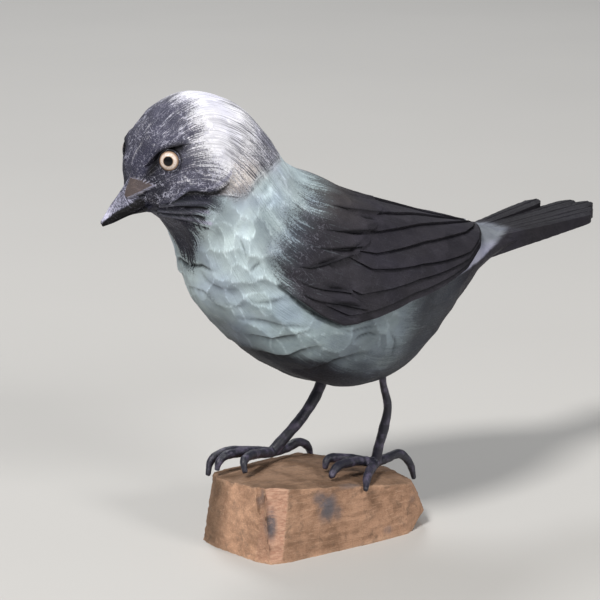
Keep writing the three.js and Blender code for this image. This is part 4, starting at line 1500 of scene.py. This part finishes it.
def block_finish(paints):
    """Rough-sawn wood with weathering on top, one fresh split face, and painted light and shade."""
    wood = Finish("rough_wood", Roughness=0.86)
    here = wood.place()
    fibres = wood.noise(wood.stretch(here, 0.14, 1.1, 1.3), 1, 4, 0.65, 0.4)
    saw = wood.noise(wood.stretch(here, 1.6, 0.2, 0.12), 1, 3, 0.6)
    patches = wood.noise(here, 0.075, 4, 0.65, 0.3)
    dirt = wood.noise(here, 0.16, 4, 0.7, 0.5)
    grit = wood.noise(here, 2.2, 3, 0.7)

    coat = wood.layer(wood.step(patches, 0.34, 0.62), tuple(paints.wood_dark), tuple(paints.wood))
    coat = wood.layer(wood.step(fibres, 0.5, 0.75, 0, 0.55), coat, tuple(paints.wood_light))
    coat = wood.layer(wood.step(dirt, 0.5, 0.72, 0, 0.55), coat, OLD_DIRT)
    coat = wood.layer(wood.step(saw, 0.55, 0.8, 0, 0.25), coat, SAW_DIRT)
    coat = wood.layer(wood.step(grit, 0.35, 0.65, 0, 0.45), coat, wood.tinted(coat, (0.62, 0.6, 0.58)))
    # Darker weathering on top, and painted shade on the far end at the left
    coat = wood.layer(wood.amount("weathered_top_and_shaded_end"), coat, wood.tinted(coat, (0.62, 0.64, 0.64)))
    # Painted light on faces turned towards -X
    coat = wood.layer(wood.amount("pale"), coat, wood.tinted(coat, (1.5, 1.5, 1.52)))
    split = wood.layer(wood.step(fibres, 0.35, 0.6), tuple(paints.wood_fresh), SPLIT_FIBRE)
    coat = wood.layer(wood.amount("fresh"), coat, split)
    # Lighter sharp edges: rubbed wood and painted highlight
    coat = wood.layer(wood.product(wood.amount("wear_and_highlight"), 0.35), coat, CORNER_WEAR_AND_HIGHLIGHT)
    stain = wood.product(wood.amount("stain"), wood.step(dirt, 0.34, 0.52, 0.25, 0.92))
    coat = wood.layer(stain, coat, STAINED)
    # Painted shade in the hollows
    coat = wood.layer(wood.product(wood.amount("hollow"), 0.8), coat, WOOD_CREVICE_SHADE)
    wood.feed(wood.shader.inputs["Base Color"], coat)
    wood.shader.inputs["Specular IOR Level"].default_value = 0.25
    height = wood.total(fibres, wood.product(grit, 0.5))
    height = wood.total(height, wood.product(saw, 0.6))
    wood.feed(wood.shader.inputs["Normal"], wood.bump(height, 0.7, 0.5))
    return wood.material


def wire_finish(paints):
    """Dark, slightly glossy paint over uneven wire."""
    wire = Finish("painted_wire", Roughness=0.42)
    here = wire.place()
    cloud = wire.noise(here, 0.22, 3, 0.6)
    grit = wire.noise(here, 1.6, 3, 0.65)
    # Painted sheen in random patches
    coat = wire.layer(wire.step(cloud, 0.46, 0.72), tuple(paints.wire), tuple(paints.wire_sheen))
    coat = wire.layer(wire.step(grit, 0.62, 0.78, 0, 0.5), coat, WIRE_SPECKS)
    wire.feed(wire.shader.inputs["Base Color"], coat)
    wire.feed(wire.shader.inputs["Roughness"], wire.step(grit, 0.3, 0.7, 0.32, 0.55))
    wire.feed(wire.shader.inputs["Normal"], wire.bump(wire.total(grit, cloud), 0.5, 0.4))
    return wire.material


def eye_finish(paints):
    """A glass eye: black pupil, cream iris between two tan lines, and dark rim, under a clear coat."""
    eye = Finish("glass_eye", Roughness=0.3, Coat_Weight=0.2, Coat_Roughness=0.03)
    across = eye.stretch(eye.laid("iris"), 1, 1, 0)
    length = eye.add("ShaderNodeVectorMath", operation="LENGTH")
    eye.feed(length.inputs[0], across)
    away = length.outputs["Value"]
    rays = eye.noise(across, 1.4, 3, 0.6)
    iris = eye.layer(eye.step(rays, 0.35, 0.65), tuple(paints.iris_shade), tuple(paints.iris))
    ring = eye.layer(eye.step(away, *IRIS_START), IRIS_INNER_LINE, iris)
    ring = eye.layer(eye.step(away, *IRIS_END), ring, IRIS_OUTER_LINE)
    ring = eye.layer(eye.step(away, *RIM_START), ring, EYE_RIM)
    ring = eye.layer(eye.step(away, *PUPIL_END), PUPIL, ring)
    eye.feed(eye.shader.inputs["Base Color"], ring)
    eye.shader.inputs["Specular IOR Level"].default_value = 0.2
    return eye.material


def floor_finish(paints):
    """A plain pale floor."""
    floor = Finish("pale_floor", Roughness=0.75)
    haze = floor.noise(floor.place(), 0.004, 2, 0.5)
    pale = tuple(paints.floor)
    coat = floor.layer(haze, pale, tuple(channel * 0.94 for channel in pale))
    floor.feed(floor.shader.inputs["Base Color"], coat)
    return floor.material


def finish_with(obj, material):
    """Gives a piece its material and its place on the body."""
    obj.data.materials.clear()
    obj.data.materials.append(material)
    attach(obj, BODY)


# What a user would change


def tint(name, description, red, green, blue):
    """A colour to choose. Its default is given from 0 to 255."""
    return bpy.props.FloatVectorProperty(
        name=name, description=description, default=linear(red, green, blue), subtype="COLOR",
        size=3, min=0, max=1)


def distance(name, description, millimetres):
    """A length to choose. Its default is given in millimetres."""
    return bpy.props.FloatProperty(
        name=name, description=description, default=millimetres * MM, min=0, unit="LENGTH",
        subtype="DISTANCE", precision=5)


class JackdawCarving(bpy.types.PropertyGroup):
    """How deep the knife went"""

    hood_step: distance("Hood step", "Height of the hood's rim over the neck", HOOD_STEP)
    brow_step: distance("Brow step", "Height of the brow over the eye", BROW_STEP)
    strip_step: distance("Feather step", "Height of each wing feather's lower edge", STRIP_STEP)
    groove: distance("Groove", "Depth of the cut along the foot of each feather", GROOVE)
    cut_share: bpy.props.FloatProperty(
        name="Cut depth", description="Depth of the knife's hollows, next to the usual",
        default=1.0, min=0, max=1.5, subtype="FACTOR")
    lumps: bpy.props.FloatProperty(
        name="Wire lumps", description="Unevenness of the legs' thickness", default=0.03, min=0, max=0.2,
        subtype="FACTOR")
    roughness: distance("Sawn surface", "Depth of the block's rough surface", SAWN_DEPTH)


class JackdawPaints(bpy.types.PropertyGroup):
    """The figure's paints and wood"""

    slate: tint("Slate", "Face and cheeks", 57, 57, 73)
    silver: tint("Silver", "Crown, dry-brushed", 240, 240, 246)
    silver_shade: tint("Silver shade", "Crown between the brush strokes", 176, 176, 196)
    fog: tint("Fog", "Nape and neck", 176, 184, 188)
    nape: tint("Nape", "Back of the head below the silver", 86, 88, 101)
    dun: tint("Dun", "Behind the cheek", 210, 202, 197)
    soot: tint("Soot", "Throat and round the eye", 31, 31, 38)
    sage: tint("Sage", "Breast", 186, 202, 206)
    mist: tint("Mist", "Lower breast", 160, 178, 184)
    # Dusk also serves as painted shade on the breast's underside
    dusk: tint("Dusk", "Belly and flanks", 66, 69, 75)
    coal: tint("Coal", "Wings and tail", 44, 42, 48)
    smoke: tint("Smoke", "Upper back", 61, 58, 59)
    # Also the painted shadow below the brow, below the layers of cheek and throat, and on the bill's lower
    # band
    pitch: tint("Pitch", "Black below the brow, round the eye and along the bill", 15, 14, 17)
    rump: tint("Rump", "Between wings and tail", 117, 122, 129)
    horn: tint("Horn", "Beak", 62, 63, 79)
    umber: tint("Umber", "Nasal facet of the beak", 84, 75, 74)
    wire: tint("Wire", "Legs", 34, 34, 46)
    # Wire sheen is a painted sheen, laid on the legs in random patches
    wire_sheen: tint("Wire sheen", "Lighter paint on the legs", 88, 82, 102)
    iris: tint("Iris", "Ring of the eye", 230, 217, 207)
    iris_shade: tint("Iris shade", "Darker parts of the ring", 206, 184, 172)
    wood: tint("Wood", "The block", 181, 143, 117)
    wood_light: tint("Light wood", "Bright fibres", 202, 166, 140)
    wood_dark: tint("Dark wood", "Weathered patches", 143, 111, 89)
    wood_fresh: tint("Fresh wood", "The split face", 178, 134, 112)
    floor: tint("Floor", "The floor below", 192, 190, 187)


class JackdawStage(bpy.types.PropertyGroup):
    """The camera and the light"""

    azimuth: bpy.props.FloatProperty(
        name="Azimuth", description="The camera's way round the figure", default=math.radians(-36),
        subtype="ANGLE", unit="ROTATION")
    elevation: bpy.props.FloatProperty(
        name="Elevation", description="The camera's height as an angle", default=math.radians(14.5),
        subtype="ANGLE", unit="ROTATION")
    away: distance("Distance", "From the camera to the figure", 900)
    lens: bpy.props.FloatProperty(
        name="Lens", description="Focal length", default=130.7, min=20, max=300, unit="CAMERA")
    light: bpy.props.FloatProperty(
        name="Light", description="Strength of every light", default=1.0, min=0, max=4, subtype="FACTOR")


# Operators


def facet_tones(spot, section):
    """A tone that changes from cut to cut, painted shade up each cut, and how close the next ridge is."""
    _, ridge, owner = CUTS.depth_at(spot)
    heights = np.array([centre[2] for centre, *_ in CUTS.rows])
    widths = np.array([row[5] for row in CUTS.rows])
    rise = np.clip((spot[:, 2] - heights[owner]) / widths[owner], -0.6, 0.6)[:, None]
    tones = np.random.default_rng(TONE_SEED).uniform(-1, 1, (len(CUTS.rows), 1))
    carved = (smooth(section, 4.6, 5.6) * (1 - smooth(section, 14, 15)))[:, None]
    # Painted shade: each cut is darker towards its upper edge
    tone = 1 + tones[owner] * (0.04 + 0.09 * carved) * np.array([1, 1, 0.9]) - 0.24 * rise * carved
    return tone, ridge


def painted_shadow_lines(spot, section, degrees):
    """Painted shadow at the feathers' feet, round the back of the hood and below the wing's front edge."""
    near = mirrored(spot)
    feathers = stroke_share(near, feather_edges(), 0.4) * in_wing(section, degrees)
    broken = 0.7 + 0.35 * np.sin(degrees * 0.9)
    nape = stroke_share(near, [skin_line(NAPE_LINE)], 0.65) * broken
    wing_front = skin_line(np.array([WING_FRONT, *WING_EDGE[:5]]) + [0, 1.2])
    return np.maximum(np.maximum(feathers, nape), 1.3 * stroke_share(near, [wing_front], 0.9))


def scratched(section, angle, points, under):
    """How much the paint is scratched: the face most, but neither black paint, the brow's painted shadow nor
    the bill's plates.
    """
    face = (1 - smooth(section, 4.6, 6)) * (angle < height_on(HOOD_EDGE, section) + 4)
    shoulder_scuffs = smooth(section, 8.7, 9.4) * (1 - smooth(section, 9.5, 10.4)) * smooth(angle, 40, 60)
    throat = (angle > 112) * (1 - smooth(section, 5.5, 7))
    marked = np.clip(face + 0.22 * shoulder_scuffs + 0.25 * throat + 0.03, 0, 1)
    on_plate = (inside(mirrored(points), NASAL)[0] > -0.4) & (points[:, 0] < -79) & (section < 2)
    brow_painted_shadow = stroke_share(skin(section, angle), [skin_line(BROW_SHADOW)], 1.7)
    return marked * ~on_plate * (1 - brow_painted_shadow) * np.clip(under.sum(1) / 0.045 - 0.5, 0, 1)


def hairiness(section, angle, on_hood):
    """How much fine dark lines show between the brush strokes."""
    hood_hairs = on_hood * mix(0.3, 1, smooth(section, 5.2, 6.6)) * smooth(section, 4, 4.8)
    hood_hairs = hood_hairs * mix(1, 0.55, smooth(angle, 74, 86))
    neck = smooth(section, 6.6, 7.4) * (1 - smooth(section, 8.4, 9.4)) * (1 - smooth(angle, 84, 96))
    return np.maximum(hood_hairs, 0.25 * neck)


def softness(section, angle, on_hood, on_bill):
    """How smoothly the topcoat lies, from 0 for specks and streaks."""
    dry = smooth(section, 7.4, 8.4) * (1 - smooth(section, 10, 10.6)) * (1 - smooth(angle, 106, 114))
    speckled = smooth(angle, 108, 122) * smooth(section, 4.2, 5) * (1 - smooth(section, 7.2, 8.2))
    soft = np.where(on_hood, 0.4, mix(mix(0.8, 0.45, dry), 0.15, speckled))
    return np.where(on_bill, 0.1, soft)


def brush_flow(section, degrees):
    """Places along and round the body in millimetres, which the brush strokes follow."""
    stations = np.arange(len(SECTIONS))
    paces = np.linalg.norm(np.diff(skin(stations, 60.0), axis=0), axis=1)
    travelled = np.interp(section, stations, np.cumsum([0, *paces]))
    turn = np.radians(degrees)
    return np.stack([travelled, GIRTH_RADIUS * np.cos(turn), GIRTH_RADIUS * np.sin(turn)], -1)


def painted_values(mesh, paints):
    """Stores on the finished bird what its paint needs."""
    points = vertex_points(mesh)
    section, degrees, lift = Chart().places(points)
    angle, spot = np.abs(degrees), skin(section, degrees)
    under, top, brushed = bird_paint(paints, section, degrees, lift, points)
    tone, ridge = facet_tones(spot, section)
    bend = creases(mesh)
    rim = height_on(HOOD_EDGE, section)
    on_hood = rim > angle
    plain = on_hood & (section > 4.4) | in_wing(section, angle) | (section > 15.3)
    rim_line = smooth(section, 5.6, 6.4) * (1 - smooth(section, 8.8, 9.2)) * (np.abs(angle - rim) < 12)
    # Painted highlight on sharp edges, left off along the hood's rim
    sharp = (1 - rim_line) * np.clip(-bend * 3 - 0.15, 0, 0.45)
    # Painted shade in creases and grooves, and along the painted shadow lines
    grooved = bend * 3.6 - 0.12 + 0.8 * stroke_depth(spot) ** 1.5
    hollow = np.maximum(grooved, 0.85 * painted_shadow_lines(spot, section, degrees))
    changing = 4 * brushed * (1 - brushed)
    lay_on(mesh, "undercoat", under * tone)
    lay_on(mesh, "topcoat", top * tone)
    lay_on(mesh, "brushed", brushed)
    # Lighter along the cuts' ridges and sharp edges: dry-brushed paint and painted highlight
    lay_on(mesh, "ridge", np.where(plain, 0.12, 0.8) * ridge + sharp)
    lay_on(mesh, "hollow", np.clip(hollow, 0, 1))
    lay_on(mesh, "scratchy", scratched(section, angle, points, under))
    lay_on(mesh, "hairy", hairiness(section, angle, on_hood))
    lay_on(mesh, "soft", softness(section, angle, on_hood, (points[:, 0] < -81) & (lift > 0.4)))
    lay_on(mesh, "peppered", np.clip(0.06 + 0.7 * changing * (section < 10), 0, 1))
    lay_on(mesh, "flow", brush_flow(section, degrees))


class JACKDAW_OT_bird(bpy.types.Operator):
    """Carves and paints the bird"""

    bl_idname = "jackdaw.bird"
    bl_label = "Bird"

    def execute(self, context):
        carving = context.scene.jackdaw_carving
        CUTS.rows.clear()
        CUTS.cover(lambda section, degrees: cut_size(section, degrees, carving.cut_share))
        for (section, degrees), long, width, depth in FACETS:
            for side in (LEFT, RIGHT):
                CUTS.place(section, degrees * side, long, width, depth * carving.cut_share)
        parts = [body(), bill(False), bill(True)]
        for side in (LEFT, RIGHT):
            parts += [throat_layer(line, step, side) for line, step in reversed(THROAT)]
            parts += [wing(side, carving.strip_step / MM, carving.groove / MM),
                      shoulder(side, carving.groove / MM),
                      hood(side, carving.hood_step / MM), cheek(side, CHEEK_STEP),
                      brow(side, carving.brow_step / MM), eyelid(side),
                      plate(nasal_corners(side), NASAL_RISE)]
        parts += [tail_feather(*feather) for feather in TAIL]
        bird = joined("carved_bird", parts)
        sockets = [ball(eye_centre(side), EYE_RADIUS + SOCKET_GAP) for side in (LEFT, RIGHT)]
        sockets += [tube(leg["leg"], np.add(leg["radii"], LEG_GAP)) for leg in LEGS.values()]
        cut_from(bird, sockets)
        bird.data.shade_smooth()
        bird.data.set_sharp_from_angle(angle=math.radians(BIRD_SHARP))
        painted_values(bird.data, context.scene.jackdaw_paints)
        finish_with(bird, bird_finish())
        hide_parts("bird")
        return {"FINISHED"}


class JACKDAW_OT_eyes(bpy.types.Operator):
    """Sets a glass eye on each side"""

    bl_idname = "jackdaw.eyes"
    bl_label = "Eyes"

    def execute(self, context):
        material = eye_finish(context.scene.jackdaw_paints)
        for side, node in ((LEFT, "left_eye"), (RIGHT, "right_eye")):
            centre = eye_centre(side)
            eye = mesh_object(f"{node}_glass", *ball(centre, EYE_RADIUS))
            eye.data.shade_smooth()
            lay_on(eye.data, "iris", (vertex_points(eye.data) - centre) @ np.stack(eye_axes(side), axis=1))
            finish_with(eye, material)
            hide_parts(node)
        return {"FINISHED"}


class JACKDAW_OT_legs(bpy.types.Operator):
    """Bends the legs and feet from thick wire"""

    bl_idname = "jackdaw.legs"
    bl_label = "Legs"

    def execute(self, context):
        lumps = context.scene.jackdaw_carving.lumps
        material = wire_finish(context.scene.jackdaw_paints)
        for node, shape in LEGS.items():
            parts = [tube(shape["leg"], shape["radii"], lumps)]
            parts += [tube(toe, TOE_RADII, lumps * 1.4) for toe in shape["toes"]]
            leg = joined(f"{node}_wire", parts)
            remesh = leg.modifiers.new("blend", "REMESH")
            remesh.mode, remesh.voxel_size = "VOXEL", LEG_VOXEL * MM
            soften = leg.modifiers.new("soften", "SMOOTH")
            soften.factor, soften.iterations = 0.6, 3
            settle(leg)
            leg.data.shade_smooth()
            finish_with(leg, material)
            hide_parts(node)
        return {"FINISHED"}


class JACKDAW_OT_block(bpy.types.Operator):
    """Saws and splits the block"""

    bl_idname = "jackdaw.block"
    bl_label = "Block"

    def execute(self, context):
        block = mesh_object("rough_block", *hull(BLOCK))
        cut_from(block, [chip(corners, way) for corners, way, _ in CHIPS])
        remesh = block.modifiers.new("grain", "REMESH")
        remesh.mode, remesh.voxel_size = "VOXEL", BLOCK_VOXEL * MM
        settle(block)
        roughen(block, context.scene.jackdaw_carving.roughness / MM)
        cut_from(block, [tube(toe, np.add(TOE_RADII, LEG_GAP))
                         for leg in LEGS.values() for toe in leg["toes"]])
        block.data.shade_smooth()
        block.data.set_sharp_from_angle(angle=math.radians(BLOCK_SHARP))
        marked_values(block)
        finish_with(block, block_finish(context.scene.jackdaw_paints))
        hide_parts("block")
        return {"FINISHED"}


def look_at_figure(obj, place):
    """Puts a light or the camera at a place, turned towards the figure."""
    obj.location = place
    obj.rotation_euler = (Vector(TARGET) * MM - obj.location).to_track_quat("-Z", "Y").to_euler()
    bpy.context.scene.collection.objects.link(obj)


def hang_lights(scene, strength):
    """Soft lamps and a dim, even sky."""
    world = scene.world or bpy.data.worlds.new("studio")
    scene.world = world
    world.use_nodes = True
    background = world.node_tree.nodes["Background"]
    background.inputs["Color"].default_value = SKY
    background.inputs["Strength"].default_value = SKY_STRENGTH * strength
    for name, place, width, watts, shade in LIGHTS:
        data = bpy.data.lights.new(name, "AREA")
        data.shape, data.size, data.energy, data.color = "DISK", width, watts * strength, shade
        look_at_figure(bpy.data.objects.new(name, data), Vector(place))


def place_camera(scene, stage):
    """The camera, at its angles round the figure and above it."""
    data = bpy.data.cameras.new("camera")
    data.lens, data.sensor_width, data.clip_start = stage.lens, 36, 0.05
    level = math.cos(stage.elevation)
    back = Vector((math.sin(stage.azimuth) * level, -math.cos(stage.azimuth) * level,
                   math.sin(stage.elevation)))
    scene.camera = bpy.data.objects.new("camera", data)
    look_at_figure(scene.camera, Vector(TARGET) * MM + back * stage.away)


class JACKDAW_OT_stage(bpy.types.Operator):
    """Sets up the floor, the light and the camera"""

    bl_idname = "jackdaw.stage"
    bl_label = "Stage"

    def execute(self, context):
        scene, stage = context.scene, context.scene.jackdaw_stage
        corners = np.array([[(-1, -1, 0), (-1, 1, 0)], [(1, -1, 0), (1, 1, 0)]]) * FLOOR_REACH
        floor = mesh_object("floor", *slab(corners, corners - [0, 0, FLOOR_THICK]))
        floor.data.materials.append(floor_finish(scene.jackdaw_paints))
        hang_lights(scene, stage.light)
        place_camera(scene, stage)
        scene.view_settings.view_transform = "Standard"
        return {"FINISHED"}


class JACKDAW_PT_panel(bpy.types.Panel):
    """Builds the figure piece by piece"""

    bl_label = "Jackdaw"
    bl_idname = "JACKDAW_PT_panel"
    bl_space_type = "VIEW_3D"
    bl_region_type = "UI"
    bl_category = "Jackdaw"

    def draw(self, context):
        for group in GROUPS:
            box = self.layout.box()
            settings = getattr(context.scene, group)
            for name in type(settings).__annotations__:
                box.prop(settings, name)
        for operator in OPERATORS:
            self.layout.operator(operator.bl_idname)


GROUPS = {"jackdaw_carving": JackdawCarving, "jackdaw_paints": JackdawPaints, "jackdaw_stage": JackdawStage}
OPERATORS = (JACKDAW_OT_block, JACKDAW_OT_legs, JACKDAW_OT_bird, JACKDAW_OT_eyes, JACKDAW_OT_stage)


def register():
    for kind in (*GROUPS.values(), *OPERATORS, JACKDAW_PT_panel):
        bpy.utils.register_class(kind)
    for name, kind in GROUPS.items():
        setattr(bpy.types.Scene, name, bpy.props.PointerProperty(type=kind))


def unregister():
    for name in GROUPS:
        delattr(bpy.types.Scene, name)
    for kind in (JACKDAW_PT_panel, *reversed(OPERATORS), *GROUPS.values()):
        bpy.utils.unregister_class(kind)


def main():
    register()
    bpy.ops.jackdaw.block()
    bpy.ops.jackdaw.legs()
    bpy.ops.jackdaw.bird()
    bpy.ops.jackdaw.eyes()
    bpy.ops.jackdaw.stage()


if __name__ == "__main__":
    main()
